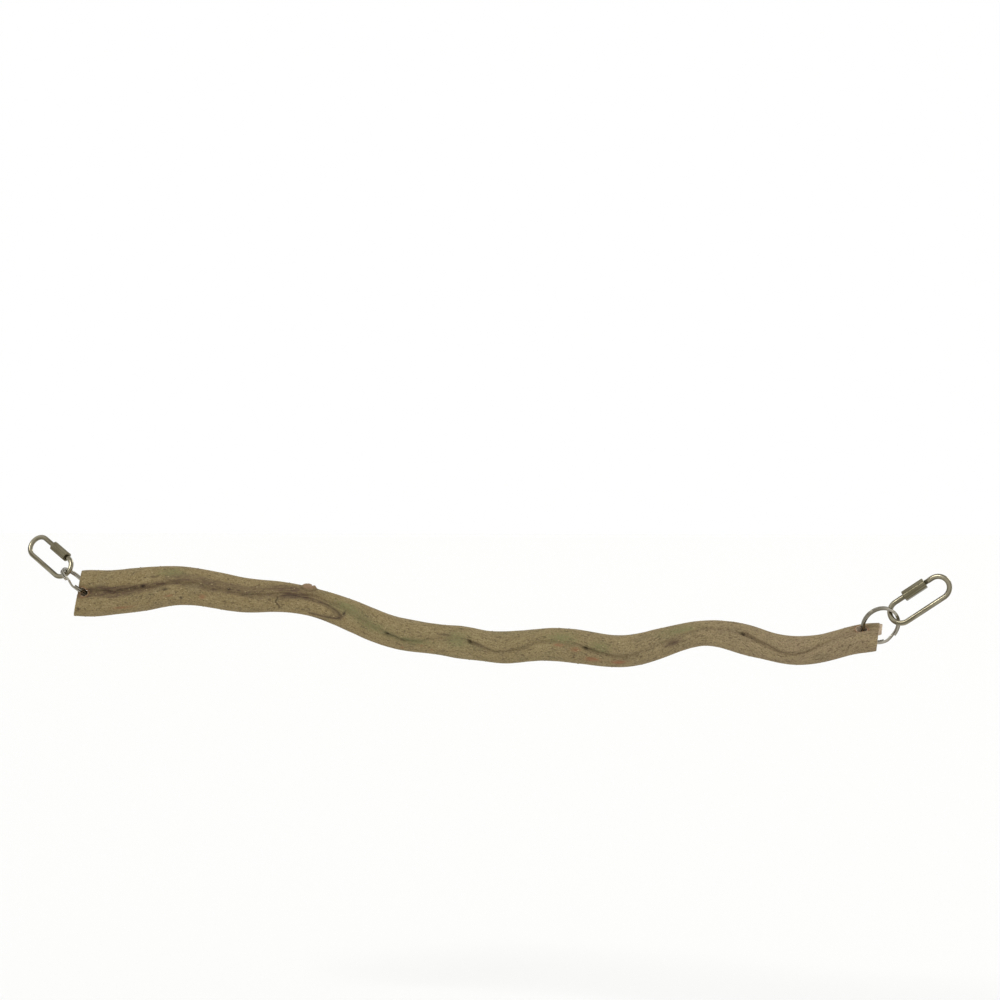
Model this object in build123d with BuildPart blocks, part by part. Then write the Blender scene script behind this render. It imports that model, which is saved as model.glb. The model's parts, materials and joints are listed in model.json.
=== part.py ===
from build123d import *
import math
import os

# A hanging bird perch: a length of grooved natural vine, drilled near each end, with a split ring
# through each hole and a screw quick link on each ring. Lengths are in millimetres, angles in degrees.
# +X runs along the perch from its thick butt to its thin tip, +Y away from the viewer and +Z up.
# The origin is the centre of the left quick link's outer bend, where the bar that carries it lies.

# Vine: overall sizes
branch_length = 647.0  # butt to tip, along X
branch_rise = 46.0  # height between the highest and lowest points of the centre line
branch_sway = 12.0  # how far the centre line wanders front to back
butt_height = 38.0  # tallest section, across both lobes
butt_depth = 20.0  # thickest lobe
front_groove_radius = 3.0  # bottom of the furrow between the lobes, on the viewer's side
back_groove_radius = 4.5
least_web_share = 0.43  # wood that a furrow leaves between the lobes, as a share of their thickness
butt_cut_lean_angle = 10.0  # how far each saw cut leans from upright
tip_cut_lean_angle = 6.5
butt_cut_heading = 24.0  # how far each saw cut is turned about the upright
tip_cut_heading = 8.0

# Vine: stations along its centre line. Shares of the sizes above for the place along, up and back,
# the height across the lobes and the lobe's thickness, then how much larger the lower lobe is than
# the upper one, and the angle by which the front furrow has turned upwards.
station_shares = [
    # along, up, back, tall, deep, lower lobe, twist
    (0.000, 0.00, 0.00, 0.98, 0.92, 0.03, 0),
    (0.012, 0.00, 0.00, 0.99, 0.92, 0.03, 0),
    (0.047, 0.02, -0.08, 0.95, 0.97, 0.04, 0),
    (0.096, 0.09, -0.17, 0.92, 1.00, 0.02, 5),
    (0.136, 0.15, -0.25, 0.85, 0.98, -0.02, 24),
    (0.180, 0.10, -0.33, 0.78, 0.97, 0.00, 14),
    (0.231, -0.01, -0.17, 0.71, 0.95, 0.00, 3),
    (0.282, -0.04, 0.08, 0.61, 0.87, 0.04, 14),
    (0.305, -0.09, 0.19, 0.58, 0.86, 0.06, 22),
    (0.361, -0.34, 0.42, 0.64, 0.89, 0.02, 20),
    (0.407, -0.58, 0.42, 0.66, 0.93, 0.00, -8),
    (0.448, -0.68, 0.25, 0.66, 0.91, -0.02, -18),
    (0.509, -0.77, 0.00, 0.66, 0.91, 0.02, 16),
    (0.556, -0.83, -0.25, 0.67, 0.91, 0.00, -22),
    (0.614, -0.77, -0.42, 0.65, 0.91, 0.02, 14),
    (0.664, -0.82, -0.42, 0.67, 0.92, 0.00, -4),
    (0.707, -0.86, -0.25, 0.65, 0.89, 0.00, -24),
    (0.747, -0.73, 0.00, 0.58, 0.85, 0.00, -4),
    (0.799, -0.56, 0.33, 0.50, 0.77, 0.02, 20),
    (0.849, -0.66, 0.25, 0.59, 0.81, 0.04, 24),
    (0.906, -0.81, -0.08, 0.58, 0.81, 0.00, -20),
    (0.944, -0.74, -0.17, 0.53, 0.78, 0.06, 8),
    (0.972, -0.63, -0.08, 0.58, 0.73, 0.10, 36),
    (0.986, -0.59, 0.00, 0.66, 0.70, 0.13, 50),
    (1.000, -0.57, 0.00, 0.68, 0.69, 0.13, 55),
]
butt_hole_share = 0.012  # the stations that are drilled
tip_hole_share = 0.986

# Vine: the short dead stub on its upper side
stub_radius = 6.5
stub_height = 2.7
stub_lean_angle = 30.0  # towards the front, from the crown of the upper lobe
stub_share = 0.305  # the station that carries it

# Vine: the part of the upper lobe that the saw left proud of the tip
tip_step_length = 2.4
tip_step_radius_share = 0.70  # shares of that lobe's radius
tip_step_shift_share = 0.26

# Drilled holes and the way they run
drill_diameter = 7.0
left_hole_heading = 88.7
left_hole_climb_angle = -4.0
right_hole_heading = -122.0
right_hole_climb_angle = 47.3

# Split rings of flat spring wire, wound twice with a jog between the turns
ring_outer_diameter = 30.0
ring_wire_width = 2.2  # across the ring's face
ring_wire_thickness = 1.3  # along the ring's axis
ring_wire_corner = 0.35
ring_coil_gap = 0.45
ring_jog_angle = 30.0
ring_tip_gap_angle = 3.0
left_ring_heading = 168.5
left_ring_climb_angle = 42.1
left_ring_jog_start_angle = -101.0
right_ring_heading = 13.6
right_ring_climb_angle = 33.4
right_ring_jog_start_angle = -88.0

# Screw quick links
link_rod_diameter = 4.0
link_outer_length = 53.0
link_outer_width = 21.0
link_stud_length = 8.0  # short threaded end, from the bend
link_gate_gap = 6.0
link_rod_chamfer = 0.4
link_play = 0.3  # between the corners of the ring's wire, at any turn, and the link's bend
left_link_heading = 158.3
left_link_climb_angle = 29.9
left_link_side_heading = 23.5
left_link_side_climb_angle = 50.8
right_link_heading = 4.8
right_link_climb_angle = 33.8
right_link_side_heading = 157.7
right_link_side_climb_angle = 53.0

# Hexagonal sleeves that close the links
sleeve_length = 18.5
sleeve_across_flats = 7.5
sleeve_running_clearance = 0.05
sleeve_end_chamfer = 0.9
sleeve_mouth_chamfer = 0.3
left_sleeve_place = 2.2  # from the bend next to the stud
right_sleeve_place = 5.9

# Sizes that follow
ring_wire_radius = (ring_outer_diameter - ring_wire_width) / 2
ring_coil_height = (ring_wire_thickness + ring_coil_gap) / 2
ring_stack = 2 * ring_wire_thickness + ring_coil_gap
ring_bundle_radius = math.hypot(ring_wire_width, ring_stack) / 2
link_bend_radius = (link_outer_width - link_rod_diameter) / 2
link_eye_radius = link_bend_radius - link_rod_diameter / 2
link_straight = link_outer_length - link_outer_width
link_seat = link_eye_radius - ring_bundle_radius - link_play


def direction(heading, climb):
    """Unit vector from a heading about Z, counted from +X, and a climb above the level."""
    level = math.cos(math.radians(climb))
    along = level * math.cos(math.radians(heading))
    across = level * math.sin(math.radians(heading))
    return Vector(along, across, math.sin(math.radians(climb)))


def square_to(hint, axis):
    """The part of a direction that is square to an axis."""
    return (hint - axis * hint.dot(axis)).normalized()


def on_arc(centre, radius, angle):
    """Point of a circle in a section, which counts its first axis up across the lobes."""
    turn = math.radians(angle)
    return (centre[0] + radius * math.cos(turn), centre[1] + radius * math.sin(turn))


class LobedSection:
    """Outline of the vine: two round lobes, one above the other, joined by a furrow front and back."""

    def __init__(self, tall, deep, lower_lobe_share):
        self.upper_radius = deep / 2 * (1 - lower_lobe_share)
        self.lower_radius = deep / 2 * (1 + lower_lobe_share)
        self.upper_place = tall / 2 - self.upper_radius
        self.lower_place = self.lower_radius - tall / 2
        self.front_radius = self.furrow_radius(front_groove_radius)
        self.back_radius = self.furrow_radius(back_groove_radius)
        self.front = self.furrow(self.front_radius)
        self.back = self.furrow(self.back_radius)

    def furrow_radius(self, groove_radius):
        """Wider than the usual groove where the lobes stand so far apart that it would part them."""
        lobe = (self.upper_radius + self.lower_radius) / 2
        half_spread = (self.upper_place - self.lower_place) / 2
        half_web = lobe * least_web_share
        bridging = (half_spread**2 + half_web**2 - lobe**2) / (2 * (lobe - half_web))
        return max(groove_radius, bridging)

    def furrow(self, radius):
        """Centre of the arc that touches both lobes, and its bearing from the upper and lower one."""
        upper_reach = self.upper_radius + radius
        lower_reach = self.lower_radius + radius
        spread = self.upper_place - self.lower_place
        above_lower = (lower_reach**2 - upper_reach**2 + spread**2) / (2 * spread)
        place = self.lower_place + above_lower
        out = math.sqrt(lower_reach**2 - above_lower**2)
        from_upper = math.degrees(math.atan2(out, place - self.upper_place))
        from_lower = math.degrees(math.atan2(out, above_lower))
        return place, out, from_upper, from_lower

    def arcs(self):
        """The six arcs of the outline in order: centre, radius, and first and last angle."""
        upper, lower = (self.upper_place, 0), (self.lower_place, 0)
        front_place, front_out, front_upper, front_lower = self.front
        back_place, back_out, back_upper, back_lower = self.back
        front, back = (front_place, front_out), (back_place, -back_out)
        return [
            (front, self.front_radius, front_lower - 180, front_upper - 180),
            (upper, self.upper_radius, front_upper, 0),
            (upper, self.upper_radius, 0, -back_upper),
            (back, self.back_radius, 180 - back_upper, 180 - back_lower),
            (lower, self.lower_radius, -back_lower, -180),
            (lower, self.lower_radius, 180, front_lower),
        ]

    def web_place(self):
        """Height of the thin web between the two furrows."""
        return (self.front[0] + self.back[0]) / 2

    def web_thickness(self):
        """Wood left between the bottoms of the two furrows."""
        front_bottom = self.front[1] - self.front_radius
        return front_bottom + self.back[1] - self.back_radius


# Centre line of the vine, with its butt at zero until the whole part is placed
centre_points = [
    Vector(along * branch_length, back * branch_sway, up * branch_rise)
    for along, up, back, *_ in station_shares
]
sections = [
    LobedSection(tall * butt_height, deep * butt_depth, lower_lobe)
    for *_, tall, deep, lower_lobe, _ in station_shares
]
with BuildLine() as centre_line:
    Spline(*centre_points)


def station_at(along_share):
    """Which row of the table stands at that share of the length."""
    return [row[0] for row in station_shares].index(along_share)


def station_plane(index, shift=Vector()):
    """Plane of one section: first axis up across the lobes, second axis out of the front furrow."""
    point = centre_points[index]
    along = centre_line.edge().tangent_at(centre_line.edge().param_at_point(point))
    if index == 0:
        along = direction(butt_cut_heading, -butt_cut_lean_angle)
    if index == len(centre_points) - 1:
        along = direction(tip_cut_heading, -tip_cut_lean_angle)
    twist = math.radians(station_shares[index][-1])
    up = square_to(Vector(0, 0, 1), along)
    front = along.cross(up)
    across_lobes = up * math.cos(twist) - front * math.sin(twist)
    return Plane(point + shift, x_dir=across_lobes, z_dir=along)


class EndFittings:
    """Places of the hole, ring, link and sleeve at one end of the vine."""

    def __init__(self, station, hole_axis, ring_pull, link_axis, link_side, stud_at_ring):
        section, plane = sections[station], station_plane(station)
        self.hole_axis = hole_axis
        self.hole_centre = plane.from_local_coords(Vector(section.web_place(), 0, 0))
        self.ring_pull = square_to(ring_pull, hole_axis)
        self.link_axis = link_axis
        self.link_side = square_to(link_side, link_axis)
        # The ring's arc bows evenly to both sides of the straight hole.
        half_web = section.web_thickness() / 2
        ring_reach = (ring_wire_radius + math.sqrt(ring_wire_radius**2 - half_web**2)) / 2
        self.ring_centre = self.hole_centre + self.ring_pull * ring_reach
        self.link_pivot = self.ring_centre + self.ring_pull * ring_wire_radius
        self.ring_bend = self.link_pivot + self.link_axis * link_seat
        self.bar_bend = self.ring_bend + self.link_axis * link_straight
        self.stud_at_ring = stud_at_ring

    def move(self, shift):
        """Carries every place along."""
        for name in ("hole_centre", "ring_centre", "link_pivot", "ring_bend", "bar_bend"):
            setattr(self, name, getattr(self, name) + shift)

    def hole_plane(self):
        return Plane(self.hole_centre, x_dir=self.ring_pull, z_dir=self.hole_axis)

    def ring_plane(self):
        return Plane(
            self.ring_centre,
            x_dir=self.ring_pull,
            z_dir=self.ring_pull.cross(self.hole_axis),
        )

    def link_plane(self):
        """Starts at the bend next to the stud and runs to the other bend; the gate is on +Y."""
        along = self.link_axis if self.stud_at_ring else -self.link_axis
        start = self.ring_bend if self.stud_at_ring else self.bar_bend
        return Plane(start, x_dir=along, z_dir=along.cross(self.link_side))


left_end = EndFittings(
    station_at(butt_hole_share),
    direction(left_hole_heading, left_hole_climb_angle),
    direction(left_ring_heading, left_ring_climb_angle),
    direction(left_link_heading, left_link_climb_angle),
    direction(left_link_side_heading, left_link_side_climb_angle),
    stud_at_ring=True,
)
right_end = EndFittings(
    station_at(tip_hole_share),
    direction(right_hole_heading, right_hole_climb_angle),
    direction(right_ring_heading, right_ring_climb_angle),
    direction(right_link_heading, right_link_climb_angle),
    direction(right_link_side_heading, right_link_side_climb_angle),
    stud_at_ring=False,
)
whole_shift = left_end.bar_bend * -1
left_end.move(whole_shift)
right_end.move(whole_shift)


# The vine, lofted through its sections, with the dead stub added and both holes drilled
with BuildPart() as vine_branch:
    for index, section in enumerate(sections):
        with BuildSketch(station_plane(index, whole_shift)):
            with BuildLine():
                for centre, radius, first, last in section.arcs():
                    middle = (first + last) / 2
                    ThreePointArc(*(on_arc(centre, radius, a) for a in (first, middle, last)))
            make_face()
    loft()
    stub_station = station_at(stub_share)
    stub_section = sections[stub_station]
    stub_reach = stub_section.upper_radius + stub_height - stub_radius
    stub_place = on_arc((stub_section.upper_place, 0), stub_reach, stub_lean_angle)
    stub_plane = station_plane(stub_station, whole_shift)
    with Locations(stub_plane.from_local_coords(Vector(*stub_place, 0))):
        Sphere(stub_radius)
    tip_section = sections[-1]
    with BuildSketch(station_plane(len(sections) - 1, whole_shift)):
        with Locations((tip_section.upper_place + tip_section.upper_radius * tip_step_shift_share, 0)):
            Circle(tip_section.upper_radius * tip_step_radius_share)
    extrude(amount=tip_step_length)
    for end in (left_end, right_end):
        with Locations(end.hole_plane()):
            Hole(drill_diameter / 2)


def ring_point(angle, height, radius=ring_wire_radius):
    """Point of the wire's centre line on the ring's own plane."""
    return Vector(*on_arc((0, 0), radius, angle), height)


def jog_points(place):
    """Five points on the two tangent arcs that take the wire down from the upper to the lower turn."""
    half = ring_jog_angle / 2
    start = ring_point(-half, ring_coil_height)
    # The arcs meet smoothly where the jog's middle stands this far out.
    middle = ring_point(0, 0, math.hypot(ring_wire_radius, ring_coil_height))
    chord = middle - start
    bulge = ring_point(90 - half, 0).normalized()
    lean = math.radians(bulge.get_angle(chord))
    outward = square_to(bulge, chord.normalized())
    crest = start + chord / 2 + outward * (chord.length / 2 * math.tan(lean / 2))
    rest = [Vector(point.X, -point.Y, -point.Z) for point in (crest, start)]
    return [tuple(point.rotate(Axis.Z, place)) for point in (start, crest, middle, *rest)]


def flat_turn(first, turn, height):
    """One turn of the wire, short of the jog."""
    ThreePointArc(*(tuple(ring_point(first + share * turn, height)) for share in (0, 0.5, 1)))


def split_ring(plane, jog_place):
    """Two flat turns of wire, one on the other, joined by a jog on two tangent arcs."""
    jog_end = jog_place + ring_jog_angle / 2
    first = jog_end + ring_tip_gap_angle
    turn = 360 - ring_jog_angle - ring_tip_gap_angle
    jog = jog_points(jog_place)
    with BuildPart() as ring:
        with BuildLine(plane) as wire:
            flat_turn(first, turn, ring_coil_height)
            ThreePointArc(*jog[:3])
            ThreePointArc(*jog[2:])
            flat_turn(jog_end, turn, -ring_coil_height)
        wire_start = plane.from_local_coords(ring_point(first, ring_coil_height))
        wire_way = plane.from_local_coords(ring_point(first + 90, 0)) - plane.origin
        with BuildSketch(Plane(wire_start, x_dir=plane.z_dir, z_dir=wire_way)):
            RectangleRounded(ring_wire_thickness, ring_wire_width, ring_wire_corner)
        sweep(path=wire.wires()[0], clean=False)
    samples = [wire.wires()[0] @ (step / 360) for step in range(361)]
    half_turn = len(samples) // 4
    least = min(
        (samples[i] - samples[j]).length
        for i in range(len(samples))
        for j in range(i + half_turn, len(samples))
    )
    print("least gap between the ring's turns", round(least - ring_wire_thickness, 3))
    return ring


def link_body(plane):
    """Bent rod with a gate on one straight side, between the short stud and the longer leg."""
    with BuildPart() as body:
        with BuildLine(plane) as rod:
            Line((link_stud_length, link_bend_radius), (0, link_bend_radius))
            ThreePointArc((0, link_bend_radius), (-link_bend_radius, 0), (0, -link_bend_radius))
            Line((0, -link_bend_radius), (link_straight, -link_bend_radius))
            ThreePointArc(
                (link_straight, -link_bend_radius),
                (link_straight + link_bend_radius, 0),
                (link_straight, link_bend_radius),
            )
            leg_end = link_stud_length + link_gate_gap
            Line((link_straight, link_bend_radius), (leg_end, link_bend_radius))
        stud_end = plane.from_local_coords(Vector(link_stud_length, link_bend_radius, 0))
        with BuildSketch(Plane(stud_end, x_dir=plane.z_dir, z_dir=-plane.x_dir)):
            Circle(link_rod_diameter / 2)
        sweep(path=rod.wires()[0])
        ends = body.faces().filter_by(Axis(plane.origin, plane.x_dir))
        chamfer(ends.edges(), link_rod_chamfer)
    return body


def link_sleeve(plane, sleeve_place):
    """Long hexagonal nut with chamfered corners and mouths, running on the rod."""
    start = plane.from_local_coords(Vector(sleeve_place, link_bend_radius, 0))
    hex_plane = Plane(start, x_dir=plane.z_dir, z_dir=plane.x_dir)
    corner_radius = sleeve_across_flats / math.sqrt(3)
    bore_radius = link_rod_diameter / 2 + sleeve_running_clearance
    end_radius = corner_radius - sleeve_end_chamfer
    rise = sleeve_end_chamfer / math.sqrt(3)
    with BuildPart() as sleeve:
        with BuildSketch(hex_plane):
            RegularPolygon(corner_radius, 6)
        extrude(amount=sleeve_length)
        with BuildSketch(Plane(start, x_dir=plane.z_dir, z_dir=plane.x_dir.cross(plane.z_dir))):
            with BuildLine():
                Polyline(
                    (0, 0),
                    (end_radius, 0),
                    (corner_radius, -rise),
                    (corner_radius, rise - sleeve_length),
                    (end_radius, -sleeve_length),
                    (0, -sleeve_length),
                    close=True,
                )
            make_face()
        revolve(axis=Axis(start, plane.x_dir), mode=Mode.INTERSECT)
        with BuildSketch(hex_plane):
            Circle(bore_radius)
        extrude(amount=sleeve_length, mode=Mode.SUBTRACT)
        mouths = sleeve.edges().filter_by(GeomType.CIRCLE).filter_by(
            lambda edge: math.isclose(edge.radius, bore_radius)
        )
        chamfer(mouths, sleeve_mouth_chamfer)
    return sleeve


left_split_ring = split_ring(left_end.ring_plane(), left_ring_jog_start_angle)
right_split_ring = split_ring(right_end.ring_plane(), right_ring_jog_start_angle)
left_link_body = link_body(left_end.link_plane())
right_link_body = link_body(right_end.link_plane())
left_link_sleeve = link_sleeve(left_end.link_plane(), left_sleeve_place)
right_link_sleeve = link_sleeve(right_end.link_plane(), right_sleeve_place)

os.makedirs("parts", exist_ok=True)
for name, piece in (
    ("vine_branch", vine_branch),
    ("left_split_ring", left_split_ring),
    ("right_split_ring", right_split_ring),
    ("left_link_body", left_link_body),
    ("right_link_body", right_link_body),
    ("left_link_sleeve", left_link_sleeve),
    ("right_link_sleeve", right_link_sleeve),
):
    piece.part.label = name
    export_step(piece.part, f"parts/{name}.step")
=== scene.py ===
import json
import math

import bpy
import numpy as np
from bpy.props import FloatProperty, IntProperty, PointerProperty, StringProperty
from bpy.types import Operator, Panel, PropertyGroup
from mathutils import Matrix, Vector
from mathutils.kdtree import KDTree


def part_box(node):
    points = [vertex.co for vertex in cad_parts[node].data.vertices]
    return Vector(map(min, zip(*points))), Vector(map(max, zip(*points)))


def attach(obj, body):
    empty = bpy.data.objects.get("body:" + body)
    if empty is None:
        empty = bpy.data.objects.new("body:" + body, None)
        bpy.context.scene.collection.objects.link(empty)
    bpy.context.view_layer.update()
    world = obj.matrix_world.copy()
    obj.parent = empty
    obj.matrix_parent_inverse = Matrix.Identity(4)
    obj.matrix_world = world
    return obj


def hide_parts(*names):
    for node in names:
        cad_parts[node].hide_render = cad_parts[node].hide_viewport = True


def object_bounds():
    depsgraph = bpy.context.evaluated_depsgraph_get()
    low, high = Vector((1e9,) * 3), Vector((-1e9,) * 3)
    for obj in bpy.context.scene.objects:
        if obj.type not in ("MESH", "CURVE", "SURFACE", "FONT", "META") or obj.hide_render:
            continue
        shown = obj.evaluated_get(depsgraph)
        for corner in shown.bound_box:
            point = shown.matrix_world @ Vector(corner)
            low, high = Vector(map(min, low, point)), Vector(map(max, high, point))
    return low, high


bl_info = {
    "name": "Vine perch",
    "version": (1, 0, 0),
    "blender": (4, 5, 0),
    "location": "3D View > Sidebar > Perch",
    "description": "Dresses a hanging perch of grooved vine with its split rings and screw quick links",
    "category": "Object",
}

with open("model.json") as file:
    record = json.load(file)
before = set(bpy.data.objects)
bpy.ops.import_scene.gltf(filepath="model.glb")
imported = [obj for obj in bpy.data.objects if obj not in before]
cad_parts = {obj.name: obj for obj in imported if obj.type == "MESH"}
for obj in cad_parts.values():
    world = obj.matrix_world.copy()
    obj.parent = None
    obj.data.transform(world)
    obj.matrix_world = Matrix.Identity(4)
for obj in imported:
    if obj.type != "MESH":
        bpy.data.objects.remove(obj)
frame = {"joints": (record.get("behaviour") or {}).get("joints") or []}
CAD_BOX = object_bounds()
JOINTS = {joint["name"]: joint for joint in frame["joints"]}
# The joints whose axes are the drilled holes.
HOLES = ("left_ring_swing", "right_ring_swing")
MM = 0.001

# Stations along the vine, as shares of its sizes: place along, up and back, height across the lobes,
# thickness of a lobe, how much larger the lower lobe is, and the turn of the front furrow in degrees.
STATION_SHARES = [
    (0.000, 0.00, 0.00, 0.98, 0.92, 0.03, 0),
    (0.012, 0.00, 0.00, 0.99, 0.92, 0.03, 0),
    (0.047, 0.02, -0.08, 0.95, 0.97, 0.04, 0),
    (0.096, 0.09, -0.17, 0.92, 1.00, 0.02, 5),
    (0.136, 0.15, -0.25, 0.85, 0.98, -0.02, 24),
    (0.180, 0.10, -0.33, 0.78, 0.97, 0.00, 14),
    (0.231, -0.01, -0.17, 0.71, 0.95, 0.00, 3),
    (0.282, -0.04, 0.08, 0.61, 0.87, 0.04, 14),
    (0.305, -0.09, 0.19, 0.58, 0.86, 0.06, 22),
    (0.361, -0.34, 0.42, 0.64, 0.89, 0.02, 20),
    (0.407, -0.58, 0.42, 0.66, 0.93, 0.00, -8),
    (0.448, -0.68, 0.25, 0.66, 0.91, -0.02, -18),
    (0.509, -0.77, 0.00, 0.66, 0.91, 0.02, 16),
    (0.556, -0.83, -0.25, 0.67, 0.91, 0.00, -22),
    (0.614, -0.77, -0.42, 0.65, 0.91, 0.02, 14),
    (0.664, -0.82, -0.42, 0.67, 0.92, 0.00, -4),
    (0.707, -0.86, -0.25, 0.65, 0.89, 0.00, -24),
    (0.747, -0.73, 0.00, 0.58, 0.85, 0.00, -4),
    (0.799, -0.56, 0.33, 0.50, 0.77, 0.02, 20),
    (0.849, -0.66, 0.25, 0.59, 0.81, 0.04, 24),
    (0.906, -0.81, -0.08, 0.58, 0.81, 0.00, -20),
    (0.944, -0.74, -0.17, 0.53, 0.78, 0.06, 8),
    (0.972, -0.63, -0.08, 0.58, 0.73, 0.10, 36),
    (0.986, -0.59, 0.00, 0.66, 0.70, 0.13, 50),
    (1.000, -0.57, 0.00, 0.68, 0.69, 0.13, 55),
]
BUTT_HOLE_ROW = 1
STUB_ROW = 8
# Points round a section: in the front furrow, on each quarter of the lobes, and in the back furrow.
FRONT_POINTS, LOBE_POINTS, BACK_POINTS = 14, 22, 10
FRONT_MIDDLE = FRONT_POINTS // 2
BACK_MIDDLE = FRONT_POINTS + 2 * LOBE_POINTS + BACK_POINTS // 2
# How deep the crease in the front furrow is along the vine: it starts sharply at each old bud and fades.
CREASE_SHARES = [
    (0.00, 0.9), (0.11, 0.9), (0.17, 0.5), (0.27, 0.6), (0.31, 0.9), (0.36, 0.3), (0.408, 0.2),
    (0.413, 1.0), (0.47, 0.25), (0.513, 0.2), (0.518, 1.0), (0.60, 0.4), (0.63, 0.5), (0.656, 0.2),
    (0.661, 1.0), (0.735, 0.15), (0.80, 0.5), (0.838, 0.3), (0.8445, 1.0), (0.93, 0.6), (1.0, 0.5),
]
# How dark the furrow is along the vine.
STAIN_SHARES = [
    (0.00, 0.95), (0.10, 0.95), (0.13, 0.6), (0.16, 0.42), (0.31, 0.42), (0.36, 0.2), (0.413, 0.36),
    (0.46, 0.16), (0.52, 0.28), (0.60, 0.13), (0.66, 0.26), (0.74, 0.10), (0.845, 0.28), (0.90, 0.14),
    (1.0, 0.22),
]
# Old buds in the furrow, by their place along.
BUD_SHARES = [0.4125, 0.518, 0.661, 0.8445]
# Fine creases beside the furrow: distance from it in metres, upwards, and strength.
FINE_CREASES = [(0.0028, 1.0), (0.0047, 0.8), (0.0066, 0.55), (-0.0026, 0.5), (-0.0046, 0.3)]
# Marks on the skin of the front: what it is, place along, place down the face, length and height in mm, tilt.
SKIN_MARKS = [
    ("scar", 0.096, 0.43, 3.4, 2.6, 0),
    ("scar", 0.129, 0.57, 6.0, 1.7, 35),
    ("scar", 0.152, 0.80, 2.6, 2.2, 0),
    ("scar", 0.112, 0.24, 5.0, 1.2, -30),
    ("scar", 0.210, 0.37, 3.4, 2.4, 0),
    ("scar", 0.006, 0.83, 3.0, 2.4, 0),
    ("scar", 0.356, 0.47, 2.2, 3.2, 0),
    ("bruise", 0.762, 0.60, 10.0, 3.8, -12),
    ("bruise", 0.488, 0.30, 8.5, 1.6, 4),
    ("rub", 0.631, 0.48, 6.5, 2.4, 0),
    ("rub", 0.651, 0.57, 6.5, 2.8, 15),
    ("rub", 0.670, 0.80, 11.0, 3.4, 8),
    ("rub", 0.699, 0.83, 11.0, 2.8, 0),
    ("rub", 0.433, 0.88, 2.6, 1.3, 0),
    ("rub", 0.458, 0.75, 2.0, 1.0, 0),
    ("rub", 0.471, 0.85, 2.4, 1.2, 0),
    ("rub", 0.135, 0.74, 9.0, 1.4, 12),
    ("rub", 0.067, 0.86, 16.0, 1.5, 4),
    ("rub", 0.180, 0.70, 4.0, 3.0, 20),
    ("bloom", 0.134, 0.15, 22.0, 6.0, 0),
    ("bloom", 0.356, 0.27, 26.0, 8.0, 0),
    ("bloom", 0.394, 0.48, 30.0, 7.0, 0),
    ("bloom", 0.444, 0.62, 34.0, 5.0, 0),
    ("bloom", 0.503, 0.40, 18.0, 11.0, 0),
    ("bloom", 0.634, 0.28, 22.0, 8.0, 0),
    ("bloom", 0.678, 0.40, 14.0, 8.0, 0),
    ("bloom", 0.772, 0.20, 26.0, 6.0, 0),
]
# What the skin keeps for its material at each point.
SKIN_FIELDS = ("stain", "scar", "rub", "bloom", "stub", "cut", "pith")
# The step at the tip, as shares of the upper lobe's radius: its place above the lobe's middle and its reach.
STEP_PLACE, STEP_REACH = 0.26, 0.70
# Sawn faces, in metres: height and gap of the saw's lines, height and size of the tears, how far the face and
# its rim stand out, and the slope of the step's edge. The rings of points shrink from the rim inwards.
SAW_LINE, SAW_GAP, SAW_TEAR, TEAR_SIZE = 0.00008, 0.00045, 0.00005, 0.0012
FACE_OUT, RIM_OUT, STEP_EDGE = 0.0002, 0.0001, 0.0003
FACE_RINGS = np.linspace(0.985, 0.05, 26)
# Holes, in metres: width and fade of the torn rim, and how far from the hole's middle it can lie.
TORN_WIDTH, TORN_FADE, TORN_REACH = 0.0004, 0.0009, 0.012
# Degrees past each limit of its swing that a ring has rubbed clear of fibres.
RUBBED_PAST = 25
# Angles from which an edge is sharp.
METAL_EDGE, BARK_EDGE = math.radians(40), math.radians(48)

# Patterns of the bark: length and width of their lumps in metres, and detail. Bark grit is finer in life.
BARK_GRAINS = [
    ("cloud", 0.055, 0.014, 3.0),
    ("patch", 0.020, 0.008, 4.0),
    ("fibre", 0.0055, 0.0009, 3.0),
    ("grit", 0.0012, 0.0010, 2.0),
    ("dash", 0.0034, 0.0012, 2.0),
    ("pores", 0.0008, 0.0008, 2.0),
]
# Patterns of the plate in the same way. The streak pattern varies the plate's roughness and relief, and it
# also darkens the colour in bands along the piece, a painted reflection. The streaks that drawing leaves are
# finer in life.
PLATE_GRAINS = [("worn", 0.009, 0.004, 3.0), ("streak_and_painted_reflection", 0.030, 0.0018, 3.0)]
GROWTH_RING = 0.0011
# Layers of colour: the pattern, where it starts and is full, its share there, and its colour.
SKIN_LAYERS = [
    ("along", 0.14, 0.0, 0.35, "#756541"),
    ("cloud", 0.40, 0.60, 0.8, "#82724f"),
    ("along", 0.20, 0.34, 0.45, "#827755"),
    ("along", 0.40, 0.60, 0.6, "#8a775f"),
    ("patch", 0.52, 0.68, 0.4, "#94845f"),
    ("patch", 0.47, 0.33, 0.4, "#6e664a"),
    ("fibre", 0.52, 0.70, 0.3, "#a0916d"),
    ("fibre", 0.47, 0.30, 0.35, "#5f5239"),
    ("grit", 0.53, 0.65, 0.40, "#554830"),
    ("grit", 0.46, 0.34, 0.32, "#aa9b77"),
    ("dash", 0.59, 0.66, 0.6, "#473a29"),
]
WOUND_LAYERS = [
    ("bloom", 0.0, 1.0, 0.6, "#6b6d47"),
    ("rub", 0.0, 1.0, 0.75, "#87593f"),
    ("stub", 0.0, 1.0, 0.8, "#8c7159"),
    ("scar", 0.0, 1.0, 0.95, "#382b21"),
]
END_LAYERS = [
    ("growth", -0.2, 1.0, 0.5, "#b09a82"),
    ("pores", 0.55, 0.66, 0.6, "#76604c"),
]

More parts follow.
